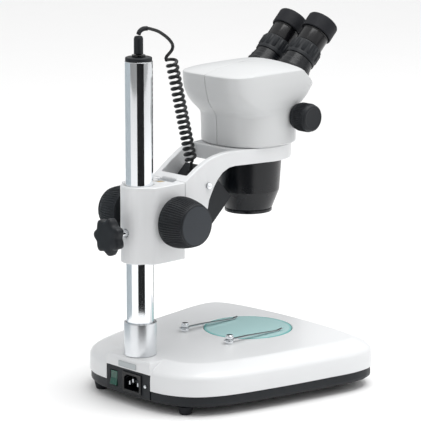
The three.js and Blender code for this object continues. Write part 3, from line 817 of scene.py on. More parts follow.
def along_y(at: Vector) -> Matrix:
    """Returns the placement of a body that points along +Y from a point."""
    return Matrix.Translation(at) @ Matrix.Rotation(-math.pi / 2, 4, "X")


# ---- studio ----

@dataclass
class Studio:
    """The floor, cards, lights and camera."""

    azimuth: float = 226.405
    elevation: float = 12.06
    distance: float = 2.68
    lens: float = 205.2
    aim: Point3 = (0.023, 0.0364, 0.1906)
    horizon: float = 0.42
    zenith: float = 1.2
    bright_share: float = 1.12
    dim_share: float = 0.72
    dim_side: Point3 = (0.35, 0.94, 0.0)
    floor_half: float = 6.0
    card_levels: Point2 = (0.001, 0.45)
    card_steps: int = 24

    def toward_camera(self) -> Vector:
        """Returns the direction from the object to the camera."""
        a, e = math.radians(self.azimuth), math.radians(self.elevation)
        return Vector((math.sin(a) * math.cos(e), -math.cos(a) * math.cos(e), math.sin(e)))

    def camera(self, optic_y: float) -> None:
        """Makes the scene's camera, aimed past the optical axis at optic_y metres."""
        data = bpy.data.cameras.new("camera")
        data.lens = self.lens
        data.sensor_width = 36.0
        data.clip_start, data.clip_end = 0.05, 50.0
        camera = bpy.data.objects.new("camera", data)
        bpy.context.scene.collection.objects.link(camera)
        back = self.toward_camera()
        camera.location = Vector(self.aim) + Vector((0, optic_y, 0)) + back * self.distance
        camera.rotation_euler = (-back).to_track_quat("-Z", "Y").to_euler()
        bpy.context.scene.camera = camera

    def floor(self) -> None:
        """Makes the pale floor."""
        signs = ((-1, -1), (1, -1), (1, 1), (-1, 1))
        corners = [Vector((x, y, 0)) * self.floor_half for x, y in signs]
        floor = new_object("floor", corners, [[0, 1, 2, 3]])
        floor.data.materials.append(Finish("floor", (0.93, 0.93, 0.93), 0.6, tint=0.004).build())
        floor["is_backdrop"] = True

    def card(
        self, name: str, start: float, end: float, colour: Colour, centre: Vector, reach: float
    ) -> None:
        """Stands a curved card on the floor that only reflections see.

        Args:
            name: the card's name.
            start: where it starts, in degrees from the camera's direction.
            end: where it ends.
            colour: its colour.
            centre: the point that it curves about.
            reach: its distance from there, in metres.
        """
        back = self.toward_camera()
        ahead = math.atan2(back.y, back.x)
        steps = self.card_steps
        rows = []
        for z in self.card_levels:
            row = []
            for i in range(steps + 1):
                turn = ahead + math.radians(start + (end - start) * i / steps)
                out = Vector((math.cos(turn), math.sin(turn), 0)) * reach
                row.append(Vector((centre.x + out.x, centre.y + out.y, z)))
            rows.append(row)
        numbers = [list(range(steps + 1)), list(range(steps + 1, 2 * steps + 2))]
        card = new_object(name, rows[0] + rows[1], skin(numbers, wrap=False))
        card.data.materials.append(Finish(name, colour, 0.9, tint=0.01).build())
        card.visible_camera = card.visible_diffuse = card.visible_shadow = False
        card.visible_transmission = False
        card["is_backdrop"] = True

    def light(self, name: str, at: Point3, size: float, power: float, aim: Vector) -> None:
        """Hangs a square soft light.

        Args:
            name: the light's name.
            at: its place, in metres.
            size: its side, in metres.
            power: its power, in watts.
            aim: the point that it faces.
        """
        data = bpy.data.lights.new(name, "AREA")
        data.energy = power
        data.size = size
        lamp = bpy.data.objects.new(name, data)
        bpy.context.scene.collection.objects.link(lamp)
        lamp.location = at
        lamp.rotation_euler = (aim - Vector(at)).to_track_quat("-Z", "Y").to_euler()

    def world(self) -> None:
        """Sets the white surroundings: bright above, softer and uneven round the sides."""
        world = bpy.data.worlds.new("studio")
        world.use_nodes = True
        wires = Wiring(world.node_tree)
        sky = world.node_tree.nodes["Background"]
        sky.inputs["Color"].default_value = (1, 1, 1, 1)
        way = wires.add("ShaderNodeTexCoord").outputs["Generated"]
        split = wires.add("ShaderNodeSeparateXYZ")
        side = wires.add("ShaderNodeVectorMath", {1: self.dim_side}, operation="DOT_PRODUCT")
        lift = {"From Max": 0.8, "To Min": self.horizon, "To Max": self.zenith}
        height = wires.add("ShaderNodeMapRange", lift)
        fall = {"From Min": -1.0, "To Min": self.bright_share, "To Max": self.dim_share}
        dim = wires.add("ShaderNodeMapRange", fall)
        both = wires.add("ShaderNodeMath", operation="MULTIPLY")
        seen = wires.add("ShaderNodeMix", {3: 1.0})
        direct = wires.add("ShaderNodeLightPath")
        wires.join(
            (way, split.inputs[0]),
            (way, side.inputs[0]),
            (split.outputs["Z"], height.inputs["Value"]),
            (side.outputs["Value"], dim.inputs["Value"]),
            (height.outputs[0], both.inputs[0]),
            (dim.outputs[0], both.inputs[1]),
            (direct.outputs["Is Camera Ray"], seen.inputs[0]),
            (both.outputs[0], seen.inputs[2]),
            (seen.outputs[0], sky.inputs["Strength"]),
        )
        bpy.context.scene.world = world
        bpy.context.scene.view_settings.view_transform = "Standard"

    def build(self, optic_y: float, column: Vector) -> None:
        """Sets up the whole studio round the instrument.

        Args:
            optic_y: the optical axis's place along Y, in metres.
            column: the column's middle.
        """
        self.camera(optic_y)
        self.floor()
        self.world()
        foot = Vector((column.x, column.y, 0))
        self.card("dark card", -13, 43, (0.004, 0.004, 0.005), foot, 0.3)
        self.card("grey card", -144, -69, (0.42, 0.47, 0.5), foot, 0.3)
        self.card("edge card", 149, 180, (0.03, 0.035, 0.04), foot, 0.36)
        aim = Vector((0, 0, 0.2))
        self.light("overhead light", (-0.5, -0.3, 2.4), 1.6, 32, aim)
        self.light("side light", (-2.2, -1.2, 1.3), 1.2, 1.5, aim)


# ---- base ----

@dataclass
class Base:
    """The lit base: shell, pan, feet, rear panel and stage, in mm from the optical axis."""

    frame: Frame
    optic_y: float
    sides: int = 168
    low: float = 22.3
    top: float = 53.7
    wall: float = 3.0
    glass_radius: float = 50.0

    def outline(self) -> list[Vector]:
        """Returns the base's plan as an even closed curve, in mm."""
        half = [
            (36, 181.7), (63, 176.5), (86, 161.5), (101.5, 137), (118, 76), (130.5, 8),
            (136.5, -38), (131, -64), (112, -80), (80, -88), (40, -92), (0, -93),
        ]
        knots = [Vector(p) for p in half] + [Vector((-x, y)) for x, y in reversed(half) if x > 0]
        fine = []
        for i in range(len(knots)):
            p0, p1, p2, p3 = (knots[(i + k) % len(knots)] for k in (-1, 0, 1, 2))
            t1 = (p1 - p0).length ** 0.5
            t2 = t1 + (p2 - p1).length ** 0.5
            t3 = t2 + (p3 - p2).length ** 0.5
            for step in range(24):
                t = t1 + (t2 - t1) * step / 24
                a1 = p0 * ((t1 - t) / t1) + p1 * (t / t1)
                a2 = p1 * ((t2 - t) / (t2 - t1)) + p2 * ((t - t1) / (t2 - t1))
                a3 = p2 * ((t3 - t) / (t3 - t2)) + p3 * ((t - t2) / (t3 - t2))
                b1 = a1 * ((t2 - t) / t2) + a2 * (t / t2)
                b2 = a2 * ((t3 - t) / (t3 - t1)) + a3 * ((t - t1) / (t3 - t1))
                fine.append(b1 * ((t2 - t) / (t2 - t1)) + b2 * ((t - t1) / (t2 - t1)))
        return self.spaced(fine)

    def spaced(self, fine: list[Vector]) -> list[Vector]:
        """Returns evenly spaced points along a closed line."""
        total = sum((b - a).length for a, b in zip(fine, fine[1:] + fine[:1]))
        step, due, walked, even = total / self.sides, 0.0, 0.0, []
        for a, b in zip(fine, fine[1:] + fine[:1]):
            side = (b - a).length
            while due <= walked + side and len(even) < self.sides:
                even.append(a + (b - a) * ((due - walked) / side))
                due += step
            walked += side
        return even

    def ring(self, plan: list[Vector], inset: float, z: float) -> list[Vector]:
        """Returns the plan moved inwards, as points in metres.

        Args:
            plan: the closed outline in mm, clockwise seen from above.
            inset: how far it moves in, in mm.
            z: its height in mm.
        Returns:
            The ring's points.
        """
        ring = []
        for i, at in enumerate(plan):
            ahead = plan[(i + 1) % len(plan)] - plan[i - 1]
            inward = Vector((ahead.y, -ahead.x)).normalized()
            moved = at + inward * inset
            ring.append(Vector((moved.x * MM, moved.y * MM + self.optic_y, z * MM)))
        return ring

    def shell(self) -> None:
        """Makes the white shell: sloping shoulder, flat deck and the tongue that holds the column."""
        plan = self.outline()
        shoulder = [
            (self.low, 0.0), (23.0, 0.0), (34, 0.0), (40, 0.4), (43, 1.9), (45.6, 4.9), (47.6, 8.6),
            (49.6, 13), (51.4, 17.2), (52.7, 20.6), (53.4, 23), (self.top, 25.6),
        ]
        inner = [(self.top - self.wall, 24.0), (44, 9.0), (36, self.wall)]
        rings = [self.ring(plan, inset, z) for z, inset in shoulder]
        shell = loft("base_shell_body", rings)
        inner += [(self.low - 1, self.wall)]
        cave = loft("cave", [self.ring(plan, inset, z) for z, inset in reversed(inner)])
        combine(shell, [self.tongue()], "UNION")
        optic = Vector((0, self.optic_y, 0))
        cuts = [
            cave,
            self.disc("recess", self.glass_radius + 0.45, self.top - 3.5, self.top + 4, optic),
            self.disc("window", self.glass_radius - 4, 30, 60, optic),
            self.disc("hole", 15.3, 30, 60, self.frame.middle("column_pole")),
            self.panel_gap(),
        ]
        combine(shell, cuts, "DIFFERENCE")
        tidy_mesh(shell, SHELL_NEAR)
        soften_edges(shell, 0.5, 2, 40)
        self.frame.fit(shell, Surface.ENAMEL, "base_shell", "base_shell")

    def tongue(self) -> bpy.types.Object:
        """Makes the raised tongue from the deck to the rear, under the column."""
        plan = [
            (-35.3, 182.2), (-35.3, 160), (-24, 112), (24, 112), (35.3, 160), (35.3, 182.2),
        ]
        levels = [(30, 0.0), (47.5, 0.0), (51.6, 0.5), (53.1, 1.7), (self.top, 3.6)]
        rings = []
        for z, inset in levels:
            row = []
            for x, y in plan:
                lean = max(0.0, (z - 48) * 0.22) if y > 181 else 0.0
                narrow = x - math.copysign(inset, x)
                at = Vector((narrow, y - lean - (inset * 0.6 if y > 181 else 0), z)) * MM
                row.append(at + Vector((0, self.optic_y, 0)))
            rings.append(row)
        return loft("tongue", rings)

    def disc(self, name: str, radius: float, low: float, high: float, at: Vector) -> bpy.types.Object:
        """Makes a round cutter, in mm, about a point in metres."""
        profile = [(0, low), (radius, low), (radius, high), (0, high)]
        return turned(name, profile, upright(Vector((at.x, at.y, 0))), 112, soften=0)

    def panel_gap(self) -> bpy.types.Object:
        """Makes the cutter for the rear panel's opening."""
        low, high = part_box("rear_panel")
        gap = 0.3
        start = (low.x / MM - gap, low.y / MM - 9, 0.0)
        end = (high.x / MM + gap, high.y / MM + 12, high.z / MM + gap)
        return block("panel gap", start, end)

    def stage(self) -> None:
        """Makes the frosted plate with its ground edge, and its two clips."""
        centre = self.frame.middle("stage_glass")
        low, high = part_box("stage_glass")
        profile = [(0, low.z / MM), (49.7, low.z / MM), (49.7, high.z / MM), (0, high.z / MM)]
        plate = turned("stage_plate", profile, upright(Vector((centre.x, centre.y, 0))), 128, 0.5)
        glass = GlassFinish(
            "frosted plate", (0.56, 0.82, 0.82), (0.16, 0.56, 0.54), 0.22, 0.25,
            tuple(centre), 0.0462, 0.0497,
        )
        plate.data.materials.append(glass.build())
        self.frame.fit(plate, None, "stage_glass", "stage_glass")
        for side, _ in SIDES:
            self.clip(side)

    def clip(self, side: str) -> None:
        """Makes one clip's knurled post, and rounds its blade."""
        foot = self.frame.pivot(f"clip_{side}_turn")
        node = f"clip_post_{side}"
        stem = [
            (0, 0), (3.9, 0), (4.2, 0.4), (4.2, 2.8), (3.2, 3.4), (3.2, 4.9), (4.0, 5.3),
            (4.0, 8.9), (3.4, 9.5), (0, 9.5),
        ]
        self.frame.turn(node + "_stem", stem, upright(foot), 40, 0.25, Surface.CHROME, node, node)
        knurl = rib(node + "_knurl", [(4.4, 5.6), (4.4, 6.4), (4.4, 7.8), (4.4, 8.7)], 0.6, 0.7)
        Round.ring(knurl, 26, upright(foot), Surface.CHROME.material())
        self.frame.fit(knurl, None, node)
        self.frame.refine(f"clip_blade_{side}", Surface.STEEL, 0.12)

    def screw(self) -> None:
        """Makes the rear panel's small screw."""
        low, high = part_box("panel_screw")
        middle = self.frame.middle("panel_screw")
        place = along_y(Vector((middle.x, 0, middle.z)))
        start, end = low.y / MM, high.y / MM
        form = [(0, start), (1.3, start), (1.3, end - 0.9), (2, end - 0.9), (2, end - 0.4)]
        form += [(1.2, end), (0, end)]
        self.frame.turn(
            "panel_screw_head", form, place, 32, 0.2, Surface.SATIN, "panel_screw", "panel_screw"
        )

    def build(self) -> None:
        """Makes the whole base."""
        self.shell()
        self.stage()
        self.frame.refine("base_pan", Surface.BLACK, 0.5)
        for end in ("front", "rear"):
            for side, _ in SIDES:
                node = f"foot_{end}_{side}"
                at = self.frame.middle(node)
                profile = [(0, 0), (5.6, 0), (6.6, 0.9), (8.4, 8.2), (8.5, 9.2), (0, 9.2)]
                standing = upright(Vector((at.x, at.y, 0)))
                self.frame.turn(
                    node + "_pad", profile, standing, 40, 0.4, Surface.RUBBER, node, node
                )
        self.frame.refine("rear_panel", Surface.BLACK, 0.25)
        self.frame.refine("mains_inlet", Surface.GLOSS, 0.35)
        self.frame.refine("power_rocker", Surface.GREEN, 0.5)
        self.frame.refine("label_plate", Surface.LABEL, 0.12)
        self.screw()
        self.frame.dress(Surface.STEEL, "inlet_pins")
        self.frame.dress(Surface.BOARD, "power_board", "stage_led_board")


# ---- column ----

@dataclass
class Column:
    """The chrome column with its collar, cap and jack, in mm."""

    frame: Frame
    radius: float = 15.0
    bore: float = 12.5

    def build(self) -> None:
        """Makes the pieces that stand on the column's axis."""
        at = self.frame.middle("column_pole")
        axis = upright(Vector((at.x, at.y, 0)))
        low, high = (corner.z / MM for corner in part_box("column_pole"))
        wall = [(self.bore, low), (self.radius, low), (self.radius, high), (self.bore, high)]
        wall.append(wall[0])
        self.frame.turn(
            "column_tube", wall, axis, 112, 0.5, Surface.CHROME, "column_pole", "column_pole"
        )
        low, high = (corner.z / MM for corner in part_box("column_collar"))
        sleeve = [(15.3, low), (17.8, low), (17.8, high), (15.3, high), (15.3, low)]
        self.frame.turn(
            "column_sleeve", sleeve, axis, 112, 0.6, Surface.SATIN, "column_collar", "column_collar"
        )
        lid = [
            (5.5, 366.7), (12.2, 366.7), (12.2, 375), (14.4, 375), (14.4, 378.4), (13.2, 379.2),
            (5.5, 379.2), (5.5, 366.7),
        ]
        self.frame.turn("column_lid", lid, axis, 80, 0.5, Surface.BLACK, "pole_cap", "pole_cap")
        self.frame.refine("dc_jack", Surface.GLOSS, 0.2)
        self.frame.dress(Surface.STEEL, "column_bolt")
        self.frame.dress(Surface.NYLON, "column_liner")


# ---- cord ----

@dataclass
class CurlyCord:
    """The lamp's cord: a lead from the plug, a curly stretch and a tail, in mm."""

    frame: Frame
    optic_y: float
    radius: float = 1.8
    coil: float = 5.4
    top: Point2 = (116.4, 371.5)
    split: Point2 = (103.4, 320.0)
    low: Point2 = (87.1, 256.0)
    gland: Point2 = (89.5, 246.1)
    upper_turns: float = 8.0
    lower_turns: float = 10.5
    phase: float = 0.87
    points_a_turn: int = 24
    run_in: float = 0.6

    def at(self, x: float, y: float, z: float) -> Vector:
        """Returns a point given in mm from the optical axis, in metres."""
        return Vector((x * MM, y * MM + self.optic_y, z * MM))

    def helix(
        self, start: Point2, end: Point2, turns: float, phase: float, closes: bool
    ) -> list[Vector]:
        """Winds a helix about a slanting line in the YZ plane.

        Args:
            start: the line's start, (y, z) in mm.
            end: its end.
            turns: how many turns it makes.
            phase: the turn that it starts at.
            closes: whether it runs in to the line at its end.
        Returns:
            The helix's points, in metres.
        """
        ahead = Vector((0, end[0] - start[0], end[1] - start[1]))
        length = ahead.length
        ahead.normalize()
        side = Vector((1, 0, 0))
        up = ahead.cross(side)
        count = round(turns * self.points_a_turn)
        points = []
        for i in range(count + 1):
            t = i / count
            eased = min(1.0, (1 - t) * turns / self.run_in) if closes else 1.0
            reach = self.coil * math.sin(eased * math.pi / 2)
            turn = 2 * math.pi * (phase + turns * t)
            off = (side * math.cos(turn) + up * math.sin(turn)) * reach
            spot = Vector((0, start[0], start[1])) + ahead * length * t + off
            points.append(self.at(*spot))
        return points

    def lead(self) -> list[Vector]:
        """Returns the lead's route from the plug's sleeve to the coil."""
        route = [
            (0, 150.4, 408.25), (0, 147.3, 407.6), (0, 144, 406.6), (0, 140.3, 405.5),
            (0, 136.5, 404.2), (0, 133, 402.5), (0, 129.6, 400.6), (0, 126.1, 398.4),
            (0, 122.6, 396), (0, 119.3, 393.3), (0, 116.4, 390.3), (0.1, 114.5, 387.6),
            (0.4, 113.7, 384.8), (0.8, 114.2, 382), (1.5, 116, 379.4), (2.2, 118.2, 377.2),
            (2.8, 120.2, 375.2), (3.3, 121.2, 373),
        ]
        return [self.at(*spot) for spot in route]

    def length(self, path: list[Vector]) -> float:
        """Returns a path's length in metres."""
        return sum((b - a).length for a, b in zip(path, path[1:]))

    def build(self) -> None:
        """Makes the plug, its sleeve and the two stretches of cord."""
        at = self.frame.middle("dc_plug")
        barrel = [
            (0, 370), (2.4, 370), (2.4, 382.2), (5, 382.2), (5, 398.6), (4.2, 401),
            (2.6, 401.5), (0, 401.5),
        ]
        plug = self.frame.turn(
            "lamp_plug", barrel, upright(Vector((at.x, at.y, 0))), 48, 0.4, Surface.BLACK,
            "dc_plug", "dc_plug",
        )
        sleeve = self.frame.refine("plug_relief", Surface.RUBBER, 0.2)
        upper = self.lead() + self.helix(self.top, self.split, self.upper_turns, self.phase, False)
        lower = self.helix(self.split, self.low, self.lower_turns, self.phase + self.upper_turns, True)
        end = [self.at(0, 87.4, 253), self.at(0, 88.1, 249.6), self.at(0, *self.gland)]
        first = sweep("lamp_cord_upper", upper, self.radius * MM)
        second = sweep("lamp_cord_lower", lower, self.radius * MM)
        tail = sweep("lamp_cord_tail", [lower[-1], *end], self.radius * MM)
        tail.data.materials.append(Surface.CORD.material())
        self.frame.slot_of("cord_coil_lower")
        for piece, node, nodes in (
            (first, "cord_lead", ("cord_lead", "cord_coil_upper")),
            (second, "cord_coil_lower", ("cord_coil_lower",)),
        ):
            piece.data.materials.append(Surface.CORD.material())
            self.frame.slot_of(node)
            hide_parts(*nodes)
        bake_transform(first)
        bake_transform(second)
        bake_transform(tail)


# ---- focusing block ----

@dataclass
class FocusBlock:
    """The block on the column, with the two focusing knobs and the clamp knob, in mm."""

    frame: Frame
    ribs: int = 62
    lobes: int = 7
    lobe_radius: float = 18.9
    lobe_depth: float = 1.9

    def knob(self, side: str, sign: int) -> None:
        """Makes one focusing knob: a ribbed, tapering grip and a smooth end cap."""
        node = f"focus_knob_{side}"
        axis = along_x(self.frame.pivot("pinion_turn"), sign)
        low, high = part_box(node)
        end = max(abs(low.x), abs(high.x)) / MM
        form = [(27.7, 31), (27.9, 27.6), (27.7, 22.6), (26.9, 16.6)]
        form += [(25.6, 10.6), (24, 5.1), (22.9, 2.2)]
        crest = [(r, end - back) for r, back in form]
        core = [(r - 0.75, z) for r, z in crest]
        grip = [(0, end - 32.6), (25.6, end - 32.6), (27.4, end - 32), *core, (22.6, end - 1.3)]
        grip += [(22.2, end - 0.6), (21.4, end - 0.4), (0, end - 0.4)]
        self.frame.turn(node + "_grip", grip, axis, 120, 0.4, Surface.BLACK, node, node)
        one = rib(node + "_ribs", crest, 1.75, 1.1)
        Round.ring(one, self.ribs, axis, Surface.BLACK.material())
        self.frame.fit(one, None, node)
        disc = [(0, end - 1.4), (20.9, end - 1.4), (20.9, end - 0.3), (20.4, end - 0.05), (0, end)]
        self.frame.turn(node + "_cap", disc, axis, 96, 0.3, Surface.CAP, node)

    def clamp(self) -> None:
        """Makes the lobed clamp knob and its screw."""
        pivot = self.frame.pivot("clamp_turn")
        axis = along_y(pivot)
        origin = pivot.y / MM
        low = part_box("clamp_knob")[0].y / MM
        levels = [(0.0, 3.4), (0.7, 1.5), (2.2, 0.3), (4, 0), (8, 0)]
        levels += [(10, 0.4), (11.3, 1.7), (12, 4.2), (12, 8)]
        steps = self.lobes * 20
        rings = []
        for z, inset in levels:
            row = []
            for i in range(steps):
                turn = 2 * math.pi * i / steps
                wave = self.lobe_depth * math.cos(self.lobes * turn) * (1 - inset / 12)
                reach = self.lobe_radius - inset + wave
                spot = Vector((reach * math.cos(turn), reach * math.sin(turn), low - origin + z)) * MM
                row.append(axis @ spot)
            rings.append(row)
        knob = loft("clamp_knob_grip", rings)
        self.frame.fit(knob, Surface.BLACK, "clamp_knob", "clamp_knob")
        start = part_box("clamp_screw")[0].y / MM - origin
        end = low - origin + 1
        thread = [(0, start), (3.7, start), (4, start + 0.8), (4, end), (0, end)]
        self.frame.turn(
            "clamp_shank", thread, axis, 48, 0.2, Surface.CHROME, "clamp_screw", "clamp_screw"
        )

    def build(self) -> None:
        """Makes the block's pieces."""
        self.frame.refine("focus_block", Surface.ENAMEL, 1.0)
        for side, sign in SIDES:
            self.knob(side, sign)
        self.clamp()
        self.frame.dress(Surface.STEEL, "pinion_shaft")


# ---- arm and lamp ----

@dataclass
class Arm:
    """The forked arm, its slide, the lamp between its cheeks and the head's lock screw."""

    frame: Frame

    def lock(self) -> None:
        """Makes the lock screw's ribbed head and its stud."""
        at = self.frame.pivot("lock_turn")
        out = self.frame.direction("lock_turn")
        axis = Matrix.Translation(at) @ out.to_track_quat("Z", "Y").to_matrix().to_4x4()
        head = [(0, -6.3), (1.9, -6.3), (1.9, 3.6), (3.2, 3.6), (3.2, 7.2), (6, 7.2)]
        head += [(6, 16.4), (5.2, 17), (0, 17)]
        self.frame.turn(
            "head_lock_knob", head, axis, 48, 0.3, Surface.BLACK, "head_lock_screw", "head_lock_screw"
        )
        one = rib("head_lock_ribs", [(6.4, 7.8), (6.5, 9), (6.5, 15), (6.3, 16.2)], 0.9, 0.8)
        Round.ring(one, 24, axis, Surface.BLACK.material())
        self.frame.fit(one, None, "head_lock_screw")

    def build(self) -> None:
        """Makes the arm's pieces and the lamp."""
        self.frame.refine("arm_fork", Surface.ENAMEL, 1.1)
        self.frame.refine("slide_rail", Surface.STEEL, 0.2)
        self.frame.dress(Surface.BRASS, "focus_rack")
        for side, _ in SIDES:
            self.frame.refine(f"lamp_screw_{side}", Surface.CHROME, 0.3)
        self.lock()
        self.frame.refine("lamp_housing", Surface.BLACK, 1.0)
        self.frame.refine("lamp_gland", Surface.RUBBER, 0.3)
        pane = refined("lamp_window", 0.2)
        centre = self.frame.middle("lamp_window")
        glass = GlassFinish(
            "lamp pane", (0.85, 0.88, 0.88), (0.7, 0.78, 0.78), 0.25, 0.5, tuple(centre), 0.012, 0.02,
        )
        pane.data.materials.append(glass.build())
        self.frame.fit(pane, None, "lamp_window", "lamp_window")


# ---- head ----

WAIST = 303.0
SHOULDER = 340.0


@dataclass
class Level:
    """One level of the head's form: half width, reaches to rear and front, and squareness."""

    z: float
    half: float
    rear: float
    front: float
    rear_form: float
    front_form: float

    def mixed(self, other: "Level", t: float) -> "Level":
        """Returns the level at a share t of the way to another."""
        mine = (self.z, self.half, self.rear, self.front, self.rear_form, self.front_form)
        theirs = (other.z, other.half, other.rear, other.front, other.rear_form, other.front_form)
        return Level(*(a + (b - a) * t for a, b in zip(mine, theirs)))

    def corner_form(self, y: float) -> float:
        """Returns the rear's squareness at y, which grows from the waist up to the side's fold."""
        fold_low, fold_high, fold_start, fold_run = 309.6, 331.0, 6, 44
        round_form, square_gain = 2.4, 2.2
        along = min(1.0, max(0.0, (y - fold_start) / fold_run))
        fold = fold_low + (fold_high - fold_low) * along
        return round_form + square_gain * min(1.0, (self.z - WAIST) / (fold - WAIST))

    def ring(self, optic_y: float, sides: int) -> list[Vector]:
        """Returns the level's closed outline in metres."""
        row = []
        for i in range(sides):
            turn = 2 * math.pi * i / sides
            reach, form = self.front, self.front_form
            if turn < math.pi:
                reach, form = self.rear, self.rear_form
                if WAIST < self.z < SHOULDER:
                    form = self.corner_form(self.rear * math.sin(turn))
            x = self.half * math.copysign(abs(math.cos(turn)) ** (2 / form), math.cos(turn))
            y = reach * math.copysign(abs(math.sin(turn)) ** (2 / form), math.sin(turn))
            row.append(Vector((x * MM, y * MM + optic_y, self.z * MM)))
        return row


@dataclass
class Head:
    """The zoom head: two moulded halves, nosepiece, objective and zoom knobs, in mm."""

    frame: Frame
    optic_y: float
    sides: int = 176
    face: float = 385.0
    seam: float = 0.35

    def levels(self) -> list[Level]:
        """Returns the head's levels, eased between the ones that set its form."""
        keys = [
            Level(269.3, 49.5, 47.5, 47.5, 2.4, 2.4),
            Level(271, 51, 48.5, 48.5, 2.4, 2.4),
            Level(290, 50.8, 49, 46.5, 2.4, 2.5),
            Level(303, 50.6, 50.4, 44.5, 2.4, 2.6),
            Level(308, 50.9, 53, 45, 2.6, 2.9),
            Level(312, 51.5, 57, 47, 3, 3.5),
            Level(320, 52, 61.8, 53.5, 3.9, 4.6),
            Level(329, 52, 64.8, 58, 4.6, 6),
            Level(337, 52, 66.2, 60, 4.6, 8),
            Level(349, 51, 68, 60, 4.6, 8),
        ]
        smooth = []
        for i in range(len(keys) - 1):
            for step in range(4):
                smooth.append(keys[i].mixed(keys[i + 1], step / 4))
        eased = [smooth[0]]
        for before, here, after in zip(smooth, smooth[1:], smooth[2:]):
            middle = before.mixed(after, (here.z - before.z) / max(1e-6, after.z - before.z))
            eased.append(here.mixed(middle, 0.6))
            eased[-1].z = here.z
        return eased + [
            keys[-1], Level(350.2, 50.3, 66.5, 60, 4.5, 8), Level(351.4, 48.6, 62, 60, 4.2, 8),
            Level(353, 44.4, 54.5, 60, 3.6, 6), Level(355.5, 33.5, 42.5, 50, 2.8, 4),
            Level(357.2, 20, 28, 44, 2.4, 3), Level(357.9, 8, 12, 40, 2.1, 3),
        ]

    def half(self, side: str, sign: int) -> None:
        """Makes one half of the head's cover, cut to the inclined face and the seam."""
        node = f"head_shell_{side}"
        rings = [level.ring(self.optic_y, self.sides) for level in self.levels()]
        cover = loft(node + "_cover", rings)
        on_face = Vector((0, -(self.face - 342.5) * MM + self.optic_y, 342.5 * MM))
        self.trim(cover, on_face, Vector((0, -1, 1)).normalized())
        self.trim(cover, Vector((sign * self.seam * MM, 0, 0)), Vector((-sign, 0, 0)))
        tidy_mesh(cover)
        soften_edges(cover, 0.6, 3, 40)
        self.frame.fit(cover, Surface.COVER, node, node)

    def trim(self, piece: bpy.types.Object, at: Vector, outward: Vector) -> None:
        """Cuts away what lies beyond a plane and closes the cut.

        Args:
            piece: a closed mesh.
            at: a point on the plane.
            outward: the side that is cut away.
        """
        work = bmesh.new()
        work.from_mesh(piece.data)
        cut = bmesh.ops.bisect_plane(
            work, geom=[*work.verts, *work.edges, *work.faces], plane_co=at, plane_no=outward,
            clear_outer=True,
        )
        rim = [e for e in cut["geom_cut"] if isinstance(e, bmesh.types.BMEdge)]
        bmesh.ops.holes_fill(work, edges=rim, sides=0)
        work.to_mesh(piece.data)
        work.free()

    def nose(self) -> None:
        """Makes the black nosepiece under the head."""
        at = Vector((0, self.optic_y, 0))
        wall = [
            (24.1, 190), (26.5, 190), (26.5, 193.2), (25.6, 193.8), (26.8, 194.4), (34.6, 214.6),
            (37, 249.5), (37.7, 252), (37.7, 281), (34.6, 281), (34.6, 250), (32.2, 214.6),
            (24.4, 196), (24.1, 193), (24.1, 190),
        ]
        self.frame.turn(
            "nosepiece_body", wall, upright(at), 128, 0.6, Surface.SATIN_BLACK, "nosepiece", "nosepiece"
        )
        lens = refined("objective_lens", 0.4)
        glass = GlassFinish(
            "objective glass", (0.7, 0.78, 0.86), (0.3, 0.4, 0.55), 0.02, 0.9, tuple(at), 0.01, 0.024,
        )
        lens.data.materials.append(glass.build())
        self.frame.fit(lens, None, "objective_lens", "objective_lens")

    def zoom(self, side: str, sign: int) -> None:
        """Makes one zoom knob with its fine ribs."""
        node = f"zoom_knob_{side}"
        axis = along_x(self.frame.pivot("zoom_turn"), sign)
        body = [
            (0, 51.5), (13.8, 51.5), (14.4, 52), (14.4, 54.6), (15.1, 55.4), (15.1, 70.6), (14.6, 73.4),
            (13.2, 74.7), (12, 75), (11.2, 74.6), (0, 74.5),
        ]
        self.frame.turn(node + "_grip", body, axis, 96, 0.5, Surface.BLACK, node, node)
        one = rib(node + "_ribs", [(15.8, 56), (15.9, 57.4), (15.9, 69), (15.6, 71.4)], 1.1, 0.95)
        Round.ring(one, 48, axis, Surface.BLACK.material())
        self.frame.fit(one, None, node)

    def build(self) -> None:
        """Makes the head's pieces."""
        for side, sign in SIDES:
            self.half(side, sign)
            self.zoom(side, sign)
        self.nose()
        self.frame.dress(Surface.STEEL, "zoom_shaft")


# ---- eyepieces ----

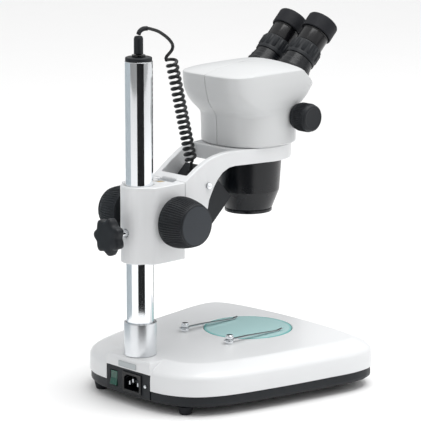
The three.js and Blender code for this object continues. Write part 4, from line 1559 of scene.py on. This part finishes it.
@dataclass
class Eyepiece:
    """One eyetube with its dioptre ring, eyepiece and cup, in mm along its axis."""

    frame: Frame
    side: str
    sign: int
    flutes: int = 14

    def axis(self) -> Matrix:
        """Returns the placement of the eyepiece's axis."""
        at = self.frame.pivot(f"dioptre_{self.side}_turn")
        return Matrix.Translation(at) @ Matrix.Rotation(math.pi / 4, 4, "X")

    def tube(self, axis: Matrix) -> None:
        """Makes the stepped tube that turns on the head's face."""
        node = f"eyetube_{self.side}"
        neck = [
            (13, 0.3), (19.6, 0.3), (19.6, 4.5), (18.6, 5), (18.6, 10), (17.6, 11), (17.6, 14),
            (17, 14.5), (17, 18.7), (15.3, 18.7), (15.3, 3.4), (13, 3.4), (13, 0.3),
        ]
        self.frame.turn(node + "_neck", neck, axis, 96, 0.35, Surface.SATIN_BLACK, node, node)

    def ring(self, axis: Matrix) -> None:
        """Makes the dioptre ring with its flutes."""
        node = f"dioptre_ring_{self.side}"
        band = [
            (16.4, 19), (18, 19), (18, 22.6), (17.6, 23.2), (17.6, 37.2), (17.2, 38),
            (16.4, 38), (16.4, 19),
        ]
        self.frame.turn(node + "_band", band, axis, 96, 0.3, Surface.BLACK, node, node)
        one = rib(node + "_flutes", [(18.4, 23.6), (18.6, 25), (18.6, 35.6), (18.2, 37)], 5.0, 1.1)
        Round.ring(one, self.flutes, axis, Surface.BLACK.material())
        self.frame.fit(one, None, node)

    def ocular(self, axis: Matrix) -> None:
        """Makes the eyepiece barrel, its eye lens and the soft cup."""
        node = f"eyepiece_{self.side}"
        barrel = [
            (0, 14), (15, 14), (15, 38.3), (16, 38.9), (16, 54), (15.7, 54.3), (15.7, 55), (16, 55.3),
            (16, 64.2), (12.8, 64.6), (12.2, 63.4), (0, 63.4),
        ]
        self.frame.turn(node + "_barrel", barrel, axis, 96, 0.35, Surface.GLOSS, node, node)
        crown = [(0, 63.2), (12, 63.2), (11.9, 63.5), (7, 64.2), (0, 64.4)]
        lens = turned(node + "_lens", crown, axis, 72, 0.1)
        glass = GlassFinish(
            "eye lens", (0.55, 0.66, 0.8), (0.35, 0.45, 0.6), 0.02, 0.6,
            tuple(axis.translation), 0.01, 0.1,
        )
        lens.data.materials.append(glass.build())
        self.frame.fit(lens, None, node)
        cup = f"eyecup_{self.side}"
        wall = [
            (16.3, 56.5), (17.9, 56.5), (18.2, 57.2), (18.2, 72.8), (17.5, 74.2), (16.4, 74.5),
            (15.3, 74.2), (15.1, 73), (15.1, 65.2), (16.3, 64.8), (16.3, 56.5),
        ]
        self.frame.turn(cup + "_sleeve", wall, axis, 96, 0.3, Surface.RUBBER, cup, cup)

    def build(self) -> None:
        """Makes the eyepiece's pieces."""
        axis = self.axis()
        self.tube(axis)
        self.ring(axis)
        self.ocular(axis)


def corners() -> list[list[float]]:
    """Returns the shown model's lowest and highest corner as plain lists."""
    return [list(corner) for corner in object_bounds()]


def main() -> None:
    """Builds the studio and the instrument."""
    logging.basicConfig(level=logging.INFO, format="%(name)s: %(message)s")
    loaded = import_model()
    frame = Frame(loaded["record"])
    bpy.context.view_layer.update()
    optic = frame.middle("stage_glass")
    Studio().build(optic.y, frame.middle("column_pole"))
    CurlyCord(frame, optic.y).build()
    Base(frame, optic.y).build()
    Column(frame).build()
    FocusBlock(frame).build()
    Arm(frame).build()
    Head(frame, optic.y).build()
    for side, sign in SIDES:
        Eyepiece(frame, side, sign).build()


if __name__ == "__main__":
    main()
